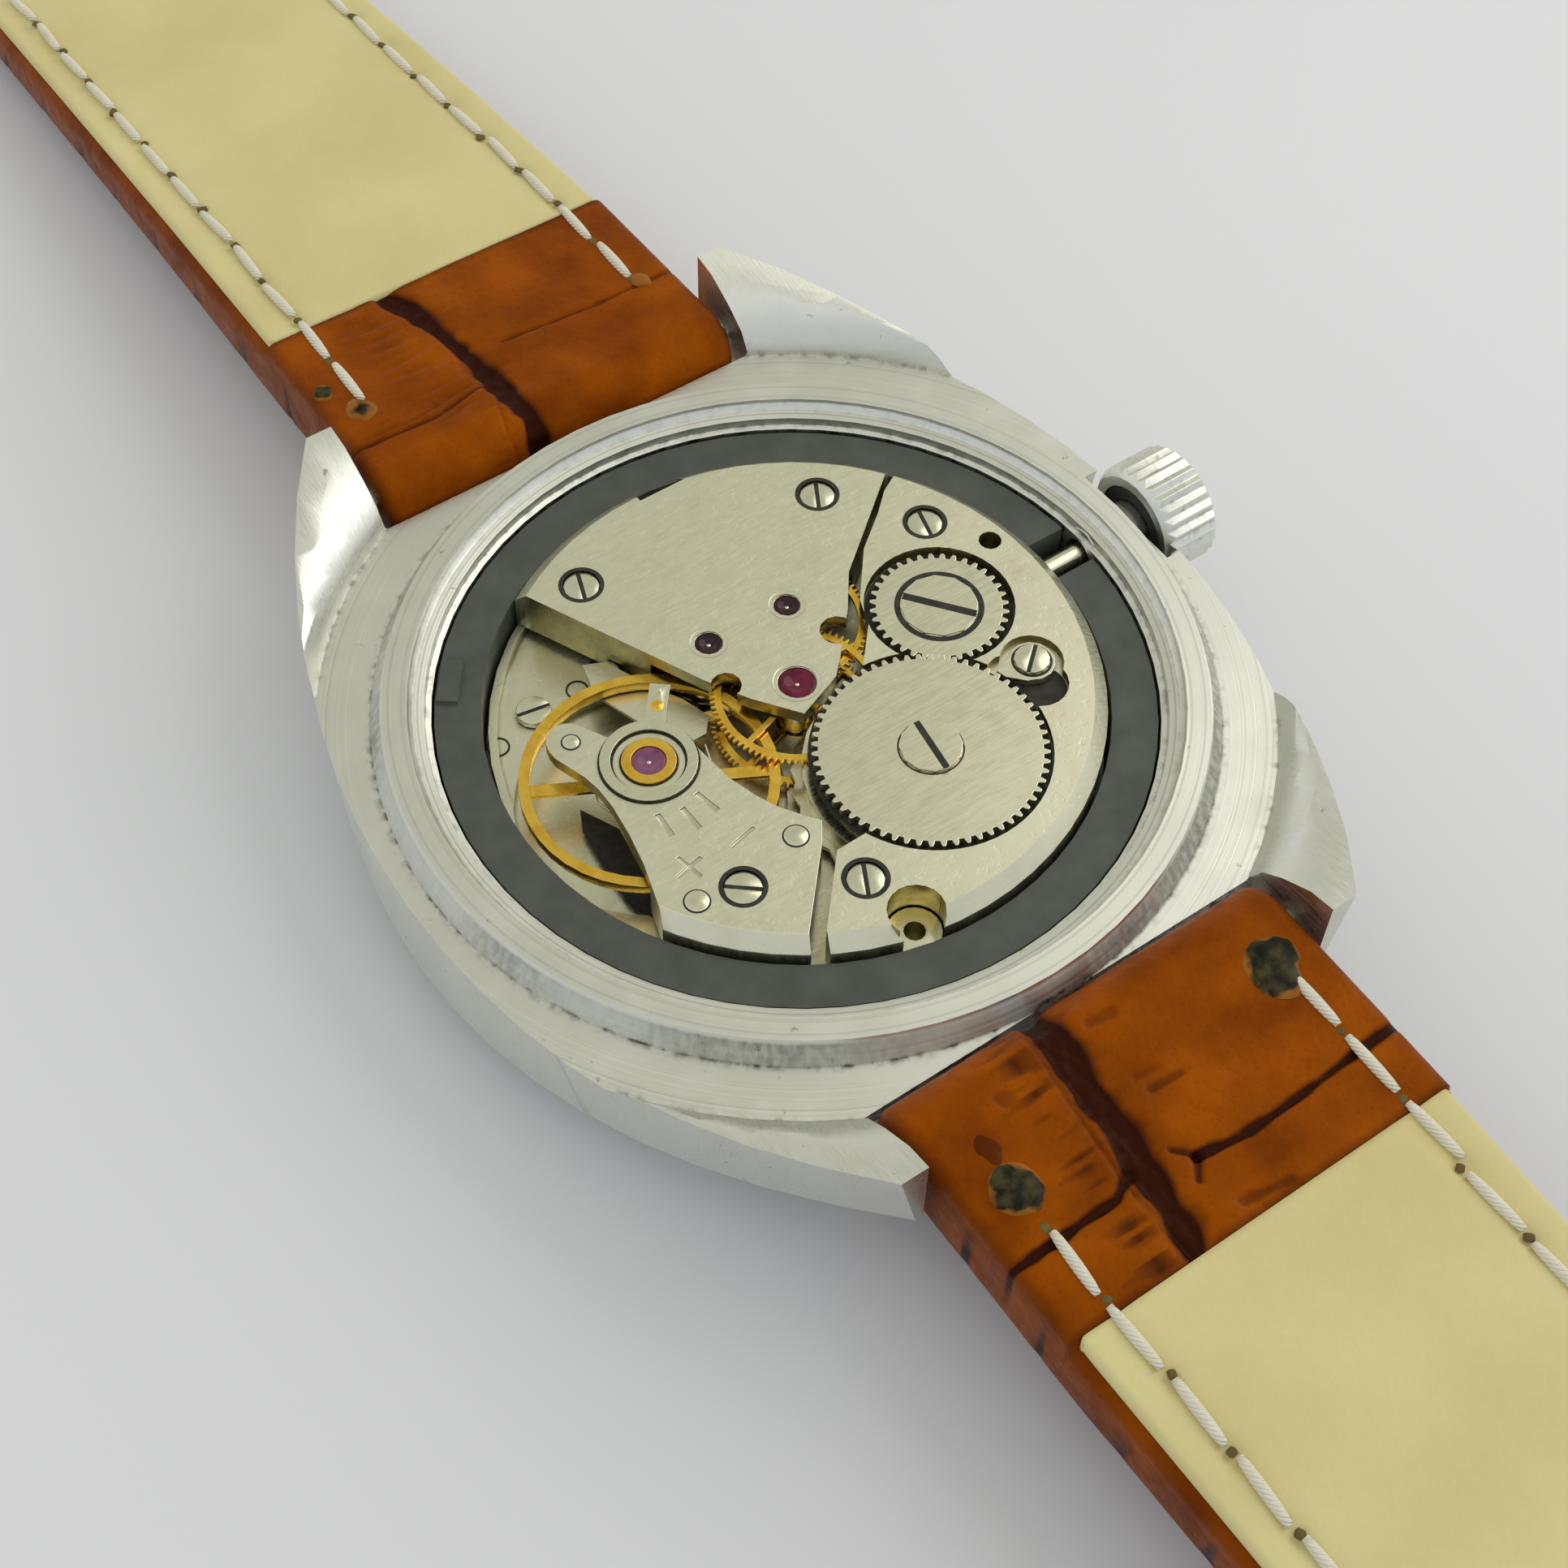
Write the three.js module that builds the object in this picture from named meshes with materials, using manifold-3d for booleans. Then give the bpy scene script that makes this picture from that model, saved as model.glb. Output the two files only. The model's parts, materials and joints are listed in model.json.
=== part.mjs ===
// A hand-wound wristwatch lying dial down with its case back off, so that the movement shows.
// Millimetres, +Z up. The origin is on the movement's axis, in the plane of the crystal's flat face.
// +X runs out through the crown (3 o'clock) and +Y runs towards 6 o'clock.
import * as THREE from "three";
import { mergeVertices } from "three/addons/utils/BufferGeometryUtils.js";
import Module from "manifold-3d";

const wasm = await Module();
wasm.setup();

// ---- driving dimensions ----
const GAP = 0.02; // between pieces that are pressed or screwed together
const CASE_HALF_WIDTH = 18.4;
const CASE_SIDE_RADIUS = 34; // the tonneau case's long sides are arcs
const LUG_END = 21.5; // from the middle of the case to the ends of the lugs
const LUG_GAP = 19;
const CASE_BOTTOM = 1.4;
const CASE_SHOULDER = 6.45;
const RIM_TOP = 7.5;
const CASE_BORE = 15.02;
const BAR_Y = 19.6; // spring bars
const BAR_Z = 6.1;
const ROLL = 2.0; // radius of the strap's roll about its spring bar
const STRAP_HALF_WIDTH = 9;
const LINING_START = 29; // from the middle of the case to the edge of the lining
const MOVEMENT = 12.8; // radius of the main plate
const PLATE_BOTTOM = 3.65;
const PLATE_TOP = 4.8;
const POCKET_TOP = 6.75; // ceiling over the wheels, under the bridges
const BRIDGE_FLOOR = 5.22;
const BRIDGE_TOP = 7.4;
const STEM_Z = 5.65;
const DRUM_RADIUS = 5.2;

// axes of the wheels, seen from the movement side
const BARREL = [2.5, -5.8];
const CROWN_WHEEL = [7.3, 0];
const THIRD = [2.0, 3.6];
const ESCAPE = [-1.85, 3.75];
const FORK = [-4.08, 2.2];
const BALANCE = [-7.25, 0];
const MINUTE_WHEEL = [3.1, 0];
const CLICK = [8.65, -4.55];
const LEVER = [11.25, 1.64];
const TAB_AT = 143; // degrees round the holder
const CLAMP = [-2.6, -11.7]; // tapped post for the clamp that holds the movement in the case

// bridge screws
const TRAIN_SCREWS = [[-4.54, 9.36], [6.66, 7.96]];
const BARREL_SCREWS = [[9.57, 4.05], [-3.35, -9.4]];
const COCK_SCREW = [-7.5, -7.05];
const PLATE_SCREW = [-8.9, 6.4];

const watch = new THREE.Group();
const materials = {};

function material(name, color, metalness, roughness) {
  materials[name] = new THREE.MeshStandardMaterial({ name, color, metalness, roughness });
}
material("case_steel", 0xc4c6c2, 1, 0.3);
material("crystal", 0xe8eeee, 0, 0.05);
material("grey_plastic", 0x50585a, 0, 0.7);
material("dial_white", 0xe9e6da, 0, 0.6);
material("nickel", 0xc0bda8, 1, 0.35);
material("bright_steel", 0xd2d2ce, 1, 0.2);
material("gilt", 0xe0a93a, 1, 0.25);
material("ruby", 0x8c1d45, 0, 0.1);
material("tan_leather", 0xa05a16, 0, 0.5);
material("cream_lining", 0xd3c88c, 0, 0.8);
material("rubber", 0x1c1c1c, 0, 0.8);

// ---- making solids ----
function solid(geometry) {
  const bare = geometry.index ? geometry.toNonIndexed() : geometry.clone();
  bare.deleteAttribute("normal");
  bare.deleteAttribute("uv");
  const merged = mergeVertices(bare, 1e-4);
  const corners = merged.index.array;
  const kept = [];
  for (let i = 0; i < corners.length; i += 3) {
    const [a, b, c] = [corners[i], corners[i + 1], corners[i + 2]];
    if (a !== b && b !== c && c !== a) kept.push(a, b, c);
  }
  return new wasm.Manifold(new wasm.Mesh({
    numProp: 3,
    vertProperties: merged.attributes.position.array,
    triVerts: new Uint32Array(kept),
  }));
}

const join = (...pieces) => pieces.reduce((sum, piece) => sum.add(piece));
const cut = (body, ...tools) => tools.reduce((rest, tool) => rest.subtract(tool), body);
const moved = (body, [x, y], z = 0) => body.translate([x, y, z]);

function node(name, materialName, body) {
  const mesh = body.getMesh();
  const geometry = new THREE.BufferGeometry();
  geometry.setAttribute("position", new THREE.BufferAttribute(mesh.vertProperties, 3));
  geometry.setIndex(new THREE.BufferAttribute(mesh.triVerts, 1));
  geometry.computeVertexNormals();
  const made = new THREE.Mesh(geometry, materials[materialName]);
  made.name = name;
  watch.add(made);
}

// A body turned about Z from a closed outline of [radius, height], counter-clockwise.
function turned(outline, segments = 40) {
  const points = outline.map(([r, z]) => new THREE.Vector2(r, z));
  if (outline[0][0] > 0) points.push(points[0].clone());
  return solid(new THREE.LatheGeometry(points, segments).rotateX(Math.PI / 2));
}

const disc = (r, z0, z1, segments = 24) => turned([[0, z0], [r, z0], [r, z1], [0, z1]], segments);
const ring = (inner, outer, z0, z1, segments = 48) =>
  turned([[inner, z0], [outer, z0], [outer, z1], [inner, z1]], segments);
const post = (at, r, z0, z1, segments = 12) => moved(disc(r, z0, z1, segments), at);

// A body turned about X, from an outline of [radius, x].
const turnedAboutX = (outline, segments = 24) =>
  turned(outline, segments).rotate([0, 90, 0]).translate([0, 0, STEM_Z]);

function block([x0, y0, z0], [x1, y1, z1]) {
  const box = new THREE.BoxGeometry(x1 - x0, y1 - y0, z1 - z0);
  return solid(box.translate((x0 + x1) / 2, (y0 + y1) / 2, (z0 + z1) / 2));
}

function flat(shape, z0, z1, curveSegments = 8) {
  const options = { depth: z1 - z0, bevelEnabled: false, curveSegments };
  return solid(new THREE.ExtrudeGeometry(shape, options).translate(0, 0, z0));
}

const polygon = (points) => new THREE.Shape(points.map(([x, y]) => new THREE.Vector2(x, y)));
const polar = (r, angle, [x, y] = [0, 0]) => [x + r * Math.cos(angle), y + r * Math.sin(angle)];

// Points along an arc of a circle, both ends included.
function arc(centre, r, from, to, steps) {
  return Array.from({ length: steps + 1 }, (_, i) => polar(r, from + ((to - from) * i) / steps, centre));
}
const degrees = (value) => (value * Math.PI) / 180;

// A body made round Z, laid along X on the axis of a bar at the given Y and Z.
const aboutBar = (body, y, z) => body.rotate([0, 90, 0]).translate([0, y, z]);
const to12 = (body) => body.mirror([0, 1, 0]); // from the 6 o'clock side to the 12 o'clock side

// ---- gears ----
// The outline of a gear with one tooth's middle at the angle `phase`.
function gearOutline(teeth, root, tip, phase = 0) {
  const halfPitch = Math.PI / teeth;
  return Array.from({ length: 2 * teeth }, (_, i) => polar(i % 2 ? root : tip, phase + i * halfPitch));
}

// Windows between the spokes of a wheel.
function windows(count, inner, outer, spokeWidth, phase = 0) {
  const holes = [];
  for (let i = 0; i < count; i++) {
    const from = phase + (i / count) * 2 * Math.PI;
    const to = from + (2 * Math.PI) / count;
    const trimIn = Math.asin(spokeWidth / 2 / inner);
    const trimOut = Math.asin(spokeWidth / 2 / outer);
    const outline = arc([0, 0], outer, from + trimOut, to - trimOut, 4);
    outline.push(...arc([0, 0], inner, to - trimIn, from + trimIn, 2));
    holes.push(new THREE.Path(outline.map(([x, y]) => new THREE.Vector2(x, y))));
  }
  return holes;
}

function spokedWheel(teeth, tip, z0, z1, spokes) {
  const shape = polygon(gearOutline(teeth, tip - 0.22, tip));
  shape.holes.push(...windows(spokes, 0.75, tip - 0.6, 0.32));
  return flat(shape, z0, z1);
}

// A slotted screw standing on Z, its head's top at `top`.
function screw(at, headRadius, headHeight, shankRadius, top, bottom, slotAngle) {
  const underHead = top - headHeight;
  const body = turned([
    [0, bottom], [shankRadius, bottom], [shankRadius, underHead], [headRadius, underHead],
    [headRadius, top], [0, top],
  ], 12);
  const slotWidth = 0.2 * headRadius;
  const slotDepth = Math.min(0.22, 0.6 * headHeight);
  const slot = block([-headRadius, -slotWidth / 2, top - slotDepth], [headRadius, slotWidth / 2, top + 1]);
  return moved(cut(body, slot.rotate([0, 0, slotAngle])), at);
}

const bridgeScrewHole = (at) => join(post(at, 0.93, 6.6, 9), post(at, 0.46, 4, 6.8));

// ---- case ----
const sideAt = (y) => CASE_HALF_WIDTH - CASE_SIDE_RADIUS + Math.sqrt(CASE_SIDE_RADIUS ** 2 - y ** 2);

// Heights of the flank's two edges: both sweep up to the wearer's wrist at the lugs.
const flankTop = (y) => CASE_SHOULDER + 0.15 + 2.5 * (y / 20) ** 2;
const flankBottom = (y) => CASE_BOTTOM + 0.6 + 3.2 * (y / 20) ** 2;

// The middle of the case with solid lugs, leaning in below towards the lugs' ends.
function caseBlank() {
  const steps = 18;
  const along = Array.from({ length: steps + 1 }, (_, i) => LUG_END * ((2 * i) / steps - 1));
  const outline = [...along.map((y) => [sideAt(y), y]), ...along.map((y) => [-sideAt(y), -y])];
  const past = (y) => (Math.abs(y) === LUG_END ? y * 1.03 : y);
  const sweep = [
    ...along.map((y) => [past(y), flankBottom(y)]),
    ...along.map((y) => [-past(y), flankTop(y)]),
  ];
  const blank = flat(polygon(outline), 0, 12).intersect(flat(polygon(sweep), -25, 25).rotate([90, 0, 90]));
  const lean = 4.6e-5;
  return blank.warp((v) => {
    v[0] *= 1 - lean * v[1] ** 2 * Math.max(0, flankTop(v[1]) - v[2]);
  });
}

function caseBody() {
  const bezel = turned([
    [13.5, CASE_BOTTOM], [15.6, CASE_BOTTOM], [16.9, 3.2], [17.3, 4.8], [17.3, 6], [13.5, 6],
  ], 64);
  const rim = turned([
    [14, 5], [17.5, 5], [17.5, 6.6], [17.35, 6.85], [16.95, RIM_TOP], [16.05, RIM_TOP], [14, RIM_TOP],
  ], 64);
  // the shoulder is turned flat round the rim and rises steeply to the lugs
  const overShoulder = turned([
    [0, CASE_SHOULDER], [19.8, CASE_SHOULDER], [20.3, 7.5], [21.2, 8.3], [22.9, 9.4], [26, 11], [26, 14],
    [0, 14],
  ], 64);
  const bore = turned([
    [0, 0], [13.9, 0], [13.9, 3.08], [CASE_BORE, 3.08], [CASE_BORE, 6.55], [15.25, 6.6], [15.3, 6.95],
    [15.75, 7.05], [15.95, 7.3], [15.95, 9], [0, 9],
  ], 64);
  const half = LUG_GAP / 2;
  const slotWall = 17.45;
  const slot = block([-half, slotWall, 0], [half, 30, 12]);
  const barHole = aboutBar(disc(0.5, -10.5, 10.5, 12), BAR_Y, BAR_Z);

  const crownSeat = turnedAboutX([[0, 17.55], [2.95, 17.55], [2.95, 20], [0, 20]]);
  const tube = turnedAboutX([[0, 15.2], [1.2, 15.2], [1.2, 18.8], [0, 18.8]]);
  const tubeBore = turnedAboutX([[0, 13], [0.75, 13], [0.75, 20], [0, 20]]);
  const shell = cut(
    join(cut(caseBlank(), overShoulder), bezel, rim),
    bore, slot, to12(slot), barHole, to12(barHole), crownSeat,
  );
  return cut(join(shell, tube), tubeBore);
}

function crystal() {
  return turned([
    [0, 0], [9, 0], [11.5, 0.35], [13.2, 1.15], [13.86, 2.1], [13.86, 3.05], [13.05, 3.05],
    [12.3, 1.75], [9, 1.2], [0, 1.2],
  ], 36);
}

// ---- crown and stem ----
function crown() {
  const [inner, outer] = [17.95, 21.05];
  const grip = 2.7;
  const flutes = polygon(gearOutline(28, grip - 0.22, grip));
  const body = flat(flutes, inner, outer).rotate([0, 90, 0]).translate([0, 0, STEM_Z]);
  const envelope = turnedAboutX([
    [0, inner], [grip - 0.35, inner], [grip, inner + 0.4], [grip, outer - 0.5], [grip - 0.6, outer - 0.08],
    [0, outer + 0.1],
  ]);
  const hollow = turnedAboutX([[0, 17], [1.9, 17], [1.9, 19.1], [0, 19.1]], 24);
  return cut(body.intersect(envelope), hollow);
}

const crownGasket = () => turnedAboutX([[1.24, 18.0], [1.86, 18.0], [1.86, 18.6], [1.24, 18.6]], 24);

function stem() {
  return turnedAboutX([
    [0, 6.6], [0.28, 6.6], [0.28, 7.3], [0.42, 7.3], [0.42, 11.0], [0.3, 11.0], [0.3, 11.7], [0.5, 11.7],
    [0.5, 19.08], [0, 19.08],
  ], 16);
}

function toothedSleeve(from, to, tip, root, teeth, bore) {
  const body = flat(polygon(gearOutline(teeth, root, tip)), from, to);
  return cut(body, disc(bore, from - 1, to + 1, 16)).rotate([0, 90, 0]).translate([0, 0, STEM_Z]);
}

function settingLever() {
  const outline = [[10.8, -0.3], [11.6, -0.3], [11.9, 1.3], [11.8, 2.2], [10.8, 2.3], [10.6, 1.2]];
  return join(
    flat(polygon(outline), 4.9, 5.05),
    post([11.35, -0.05], 0.18, 5.0, 5.28, 10), post(LEVER, 0.35, 5.0, 5.3, 12),
  );
}

// ---- dial side ----
function dial() {
  return cut(disc(14.6, 3.14, 3.54, 36), disc(1.2, 3, 4));
}

function hand(length, tail, halfWidth, z0, z1, hub, bore, angle) {
  const shoulder = length * 0.85;
  const blade = [
    [-halfWidth, -tail], [halfWidth, -tail], [halfWidth, shoulder], [0, length], [-halfWidth, shoulder],
  ];
  const body = join(flat(polygon(blade), z0, z1), disc(hub, z0, z1, 20));
  return cut(body, disc(bore, z0 - 1, z1 + 1, 16)).rotate([0, 0, angle]);
}

// ---- main plate, holder and bridges ----
// The moulded holder round the movement, with a notch for the stem and a small raised tab.
function movementRing() {
  const notch = block([12, -1.05, STEM_Z - 1.1], [16, 1.05, 9]);
  const tab = block([13.9, -1.1, 6.3], [14.8, 1.1, 6.65]).rotate([0, 0, TAB_AT]);
  return join(cut(ring(13.0, 14.92, 3.6, 6.44, 64), notch), tab);
}

function mainPlate() {
  const blank = turned([
    [0, PLATE_BOTTOM], [MOVEMENT, PLATE_BOTTOM], [MOVEMENT, 5.2], [12.45, 5.2], [12.45, PLATE_TOP],
    [0, PLATE_TOP],
  ], 48);
  const clampPost = post(CLAMP, 1.1, PLATE_TOP - 0.5, 5.9, 20);
  const motionWork = join(disc(2.75, 3, 4.25), post(MINUTE_WHEEL, 2.5, 3, 4.25, 32));
  const keyless = block([6.4, -1.35, 4.4], [10.8, 1.35, 6]);
  const stemSlot = block([10.5, -0.8, 4.95], [14, 0.8, 6]);
  const balanceSink = post(BALANCE, 5.6, 4.45, 7, 40);
  const holes = [
    disc(0.85, 3, 6, 20), post(PLATE_SCREW, 0.42, 4.0, 6), post(CLAMP, 0.45, 4.4, 7),
    ...[...TRAIN_SCREWS, ...BARREL_SCREWS, COCK_SCREW].map((at) => post(at, 0.46, 4.0, 6)),
  ];
  const inCase = ring(0, MOVEMENT, 3, 7, 64);
  return cut(join(blank, clampPost.intersect(inCase)), motionWork, keyless, stemSlot, balanceSink, ...holes);
}

function chamferedRound(z0) {
  return turned([
    [0, z0], [MOVEMENT, z0], [MOVEMENT, BRIDGE_TOP - 0.6], [12.2, BRIDGE_TOP], [0, BRIDGE_TOP],
  ], 64);
}

// Room under the bridges for the fourth and third wheels.
const wheelPockets = () => [disc(3.85, 4, POCKET_TOP, 28), post(THIRD, 3.75, 4, POCKET_TOP, 28)];

function trainBridge() {
  const outline = polygon([
    [-7.5, 11.5], [-6.9, 10.4], [-3.1, 2.2], [-2.1, 0.4], [-0.7, -1.5], [1.5, -0.65], [2.25, 0.1], [4.0, 2.0],
    [5.2, 3.6], [9.6, 7.1], [11.5, 8.6], [0, 14],
  ]);
  const blank = flat(outline, BRIDGE_FLOOR, BRIDGE_TOP).intersect(chamferedRound(BRIDGE_FLOOR));
  return cut(
    blank,
    post([-2.5, 1.5], 0.65, 4, 9), post([2.95, 1.3], 0.75, 4, 9), block([0.1, 11.95, 4], [2.4, 14, 9]),
    ...wheelPockets(), post(ESCAPE, 2.5, 4, POCKET_TOP, 20),
    disc(0.84, 4, 9, 20), post(THIRD, 0.6, 4, 9), post(ESCAPE, 0.62, 4, 9),
    ...TRAIN_SCREWS.map(bridgeScrewHole),
  );
}

function barrelBridge() {
  const outline = polygon([
    [10.3, 7.1], [9.2, 6.5], [8.2, 5.6], [6.5, 4.3], [6.0, 3.7], [4.7, 2.1], [4.2, 0.8], [2.4, -1.2],
    ...arc(BARREL, 4.6, degrees(90), degrees(204), 8),
    [-3.5, -7.7], [-6.0, -10.5], [-6.6, -12], [0, -14], [9, -12], [14, -6], [14, 5],
  ]);
  const blank = flat(outline, BRIDGE_FLOOR, BRIDGE_TOP).intersect(chamferedRound(BRIDGE_FLOOR));
  const clickRecess = [
    post([8.2, -5.6], 1.25, 6.98, 9, 20), post(CLICK, 1.35, 6.98, 9, 20), post([7.5, -4.5], 0.95, 6.98, 9),
  ];
  const keyless = [
    block([9.1, -1.4, 4], [10.8, 1.4, 6.95]), block([6.2, -1.35, 4], [9.2, 1.35, 6.5]),
    block([10.6, -0.9, 4], [14, 0.9, 6.4]), block([10.2, -1.2, 4], [12.55, 2.9, 5.4]),
  ];
  return cut(
    blank, post(CLAMP, 1.17, 4, 9, 20),
    post(BARREL, 5.95, 4, 6.55, 32), ...wheelPockets(), post(BARREL, 1.0, 4, 9),
    post(BARREL, 4.98, 6.98, 9, 60), post(CROWN_WHEEL, 3.2, 6.86, 9, 40), ...keyless, ...clickRecess,
    post(CLICK, 0.36, 6, 9), post(CROWN_WHEEL, 0.56, 6, 9), post(LEVER, 0.5, 4, 9),
    ...BARREL_SCREWS.map(bridgeScrewHole),
  );
}

function balanceCock() {
  const outline = polygon([
    [-10.7, -6.0], [-10.1, -4], [-9.8, -2.5], [-9.62, -1], [-9.62, 0], [-9.75, 0.8], [-10.25, 2.3],
    ...arc([-9.35, 2.75], 0.9, degrees(180), degrees(20), 6),
    [-7.95, 2.0], ...arc(BALANCE, 2.1, degrees(100), degrees(-15), 8),
    [-5.0, -2.5], [-4.6, -3.8], [-4.2, -4.7], [-3.6, -5.6], [-3.15, -6.2], [-3.7, -7.0], [-6.6, -10.2],
    [-7.5, -12], [-12, -9],
  ].reverse());
  const blank = flat(outline, BRIDGE_FLOOR, BRIDGE_TOP).intersect(chamferedRound(BRIDGE_FLOOR));
  const grooves = [[-8.4, -2.9, -4], [-7.37, -3.2, 2], [-6.4, -2.9, 12]].map(([x, y, lean]) =>
    block([-0.12, -0.6, BRIDGE_TOP - 0.1], [0.12, 0.6, 9]).rotate([0, 0, lean]).translate([x, y, 0]));
  const mark = (x, y, along) => block([x - 0.08, y - 0.65, BRIDGE_TOP - 0.08], [x + 0.08, y + 0.65, 9])
    .translate([-x, -y, 0]).rotate([0, 0, along]).translate([x, y, 0]);
  return cut(
    blank,
    post(BALANCE, 5.65, 4, POCKET_TOP, 48), post(BARREL, 5.95, 4, POCKET_TOP, 48),
    post(BALANCE, 1.14, 4, 9, 28), bridgeScrewHole(COCK_SCREW),
    ...grooves, mark(-8.7, -5.1, 12), mark(-8.7, -5.1, 102), mark(-6.2, -5.1, 102),
  );
}

function palletBridge() {
  const outline = polygon([
    [-6.6, 5.2], [-5.4, 1.5], [-4.9, 0.9], [-3.9, 0.9], [-3.3, 1.6], [-3.7, 2.9], [-4.5, 4.4], [-5.3, 6.4],
    [-6.2, 6.8],
  ]);
  const arm = flat(outline, 5.66, 5.82);
  const foot = post([-5.55, 6.0], 0.6, 4.84, 5.7);
  return join(arm, foot);
}

// ---- wheels ----
function centreWheel() {
  const pinion = disc(0.55, 5.05, 5.7, 12);
  const arbor = disc(0.34, 2.2, 5, 16);
  const body = join(spokedWheel(32, 3.6, 4.9, 5.05, 4), disc(0.78, 4.9, 5.05), pinion, arbor);
  return cut(body, disc(0.2, 2, 6, 12));
}

function fourthWheel() {
  const staff = join(disc(0.5, 6.1, 6.52, 10), disc(0.12, 1.8, 6.2, 10), disc(0.15, 6.6, 6.9, 10));
  return join(spokedWheel(40, 3.62, 6.5, 6.64, 4), disc(0.78, 6.5, 6.64), staff);
}

function thirdWheel() {
  const staff = join(disc(0.42, 4.88, 5.2, 10), disc(0.2, 5.1, 6.3, 10), disc(0.12, 6.3, 6.9, 10));
  return moved(join(spokedWheel(40, 3.55, 6.2, 6.34, 4), disc(0.78, 6.2, 6.34), staff), THIRD);
}

function escapeWheel() {
  const count = 15;
  const points = [];
  for (let i = 0; i < count; i++) {
    const at = (i / count) * 2 * Math.PI;
    points.push(polar(1.7, at - 0.1), polar(2.15, at + 0.12), polar(1.72, at + 0.1));
  }
  const shape = polygon(points);
  shape.holes.push(...windows(4, 0.5, 1.4, 0.2));
  const staff = join(disc(0.52, 5.36, 5.48, 16), disc(0.16, 4.9, 6.5, 10), disc(0.45, 6.45, 6.68, 10));
  return moved(join(flat(shape, 5.36, 5.48), staff), ESCAPE);
}

function palletFork() {
  // the lever points to the balance and the two arms reach round the escape wheel
  const lever = polygon([
    [0.25, 0.25], [0.18, 2.2], [0.45, 2.9], [0.15, 2.9], [0, 2.6], [-0.15, 2.9], [-0.45, 2.9], [-0.18, 2.2],
    [-0.25, 0.25],
  ]);
  const arms = polygon([
    [-1.7, -0.85], [-1.4, -1.2], [-0.3, -0.3], [0.3, -0.3], [1.4, -1.2], [1.7, -0.85], [0.35, 0.35],
    [-0.35, 0.35],
  ]);
  const body = join(flat(lever, 5.52, 5.6), flat(arms, 5.52, 5.6), disc(0.3, 5.0, 5.6, 12));
  const heading = Math.atan2(BALANCE[1] - FORK[1], BALANCE[0] - FORK[0]) - Math.PI / 2;
  return moved(body.rotate([0, 0, (heading * 180) / Math.PI]), FORK);
}

function balanceWheel() {
  const rim = ring(4.85, 5.3, 5.9, 6.4, 40);
  const arm = block([-4.95, -0.28, 5.95], [4.95, 0.28, 6.15]).rotate([0, 0, 152]);
  return moved(join(rim, arm, disc(0.55, 5.95, 6.4, 20), disc(0.12, 4.6, 7.1, 10)), BALANCE);
}

// A flat spiral of ribbon between two radii.
function spiral(inner, outer, turns, thickness, z0, z1, steps) {
  const along = Array.from({ length: steps + 1 }, (_, i) => i / steps);
  const radius = (t) => inner + (outer - inner) * t;
  const edge = (offset) => along.map((t) => polar(radius(t) + offset, t * turns * 2 * Math.PI));
  return flat(polygon([...edge(thickness / 2), ...edge(-thickness / 2).reverse()]), z0, z1);
}

function barrel() {
  const drum = turned([
    [1.05, 5.15], [DRUM_RADIUS, 5.15], [DRUM_RADIUS, 6.4], [1.05, 6.4], [1.05, 6.2],
    [DRUM_RADIUS - 0.25, 6.2], [DRUM_RADIUS - 0.25, 5.35], [1.05, 5.35],
  ], 28);
  const teeth = cut(flat(polygon(gearOutline(28, 5.42, 5.65)), 5.17, 5.37), disc(5.0, 5, 6, 24));
  return moved(join(drum, teeth), BARREL);
}

const mainspring = () => moved(spiral(1.3, 4.7, 4, 0.16, 5.42, 6.12, 36), BARREL);

function barrelArbor() {
  const body = join(disc(0.95, 5.0, 6.93, 24), block([-0.6, -0.6, 6.9], [0.6, 0.6, 7.4]));
  return moved(cut(body, disc(0.38, 6.6, 8, 16)), BARREL);
}

function ratchetWheel() {
  const mesh = Math.atan2(CROWN_WHEEL[1] - BARREL[1], CROWN_WHEEL[0] - BARREL[0]);
  const body = flat(polygon(gearOutline(60, 4.55, 4.82, mesh + Math.PI / 60)), 7.02, 7.45);
  const square = block([-0.62, -0.62, 7], [0.62, 0.62, 8]);
  return moved(cut(body, square), BARREL);
}

function crownWheel() {
  const mesh = Math.atan2(BARREL[1] - CROWN_WHEEL[1], BARREL[0] - CROWN_WHEEL[0]);
  const body = flat(polygon(gearOutline(36, 2.68, 2.94, mesh)), 6.9, 7.3);
  return moved(cut(body, disc(1.8, 7.12, 8, 28), disc(0.56, 6, 8)), CROWN_WHEEL);
}

function click() {
  const nose = [[7.75, -3.9], [7.14, -4.16], [7.25, -4.6], [7.9, -5.3]];
  const outline = polygon([...nose, ...arc(CLICK, 1.0, degrees(230), degrees(500), 10)]);
  return cut(flat(outline, 7.02, 7.4), post(CLICK, 0.42, 6, 8));
}

function regulator() {
  const hoop = ring(1.55, 1.98, 7.42, 7.6, 40);
  const arm = block([1.8, -0.42, 7.42], [3.85, 0.42, 7.6]).rotate([0, 0, 50]);
  const pin = post(polar(3.4, degrees(50)), 0.12, 7.5, 7.8, 8);
  return moved(join(hoop, arm, pin), BALANCE);
}

// ---- strap ----
// Height of the strap's lining side and of its outer side, at y mm from the middle of the case.
function blend(table, y) {
  const i = Math.max(1, table.findIndex(([at]) => at >= y));
  const [[y0, v0], [y1, v1]] = [table[i - 1], table[i]];
  const t = (y - y0) / (y1 - y0);
  return v0 + (v1 - v0) * t;
}

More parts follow.
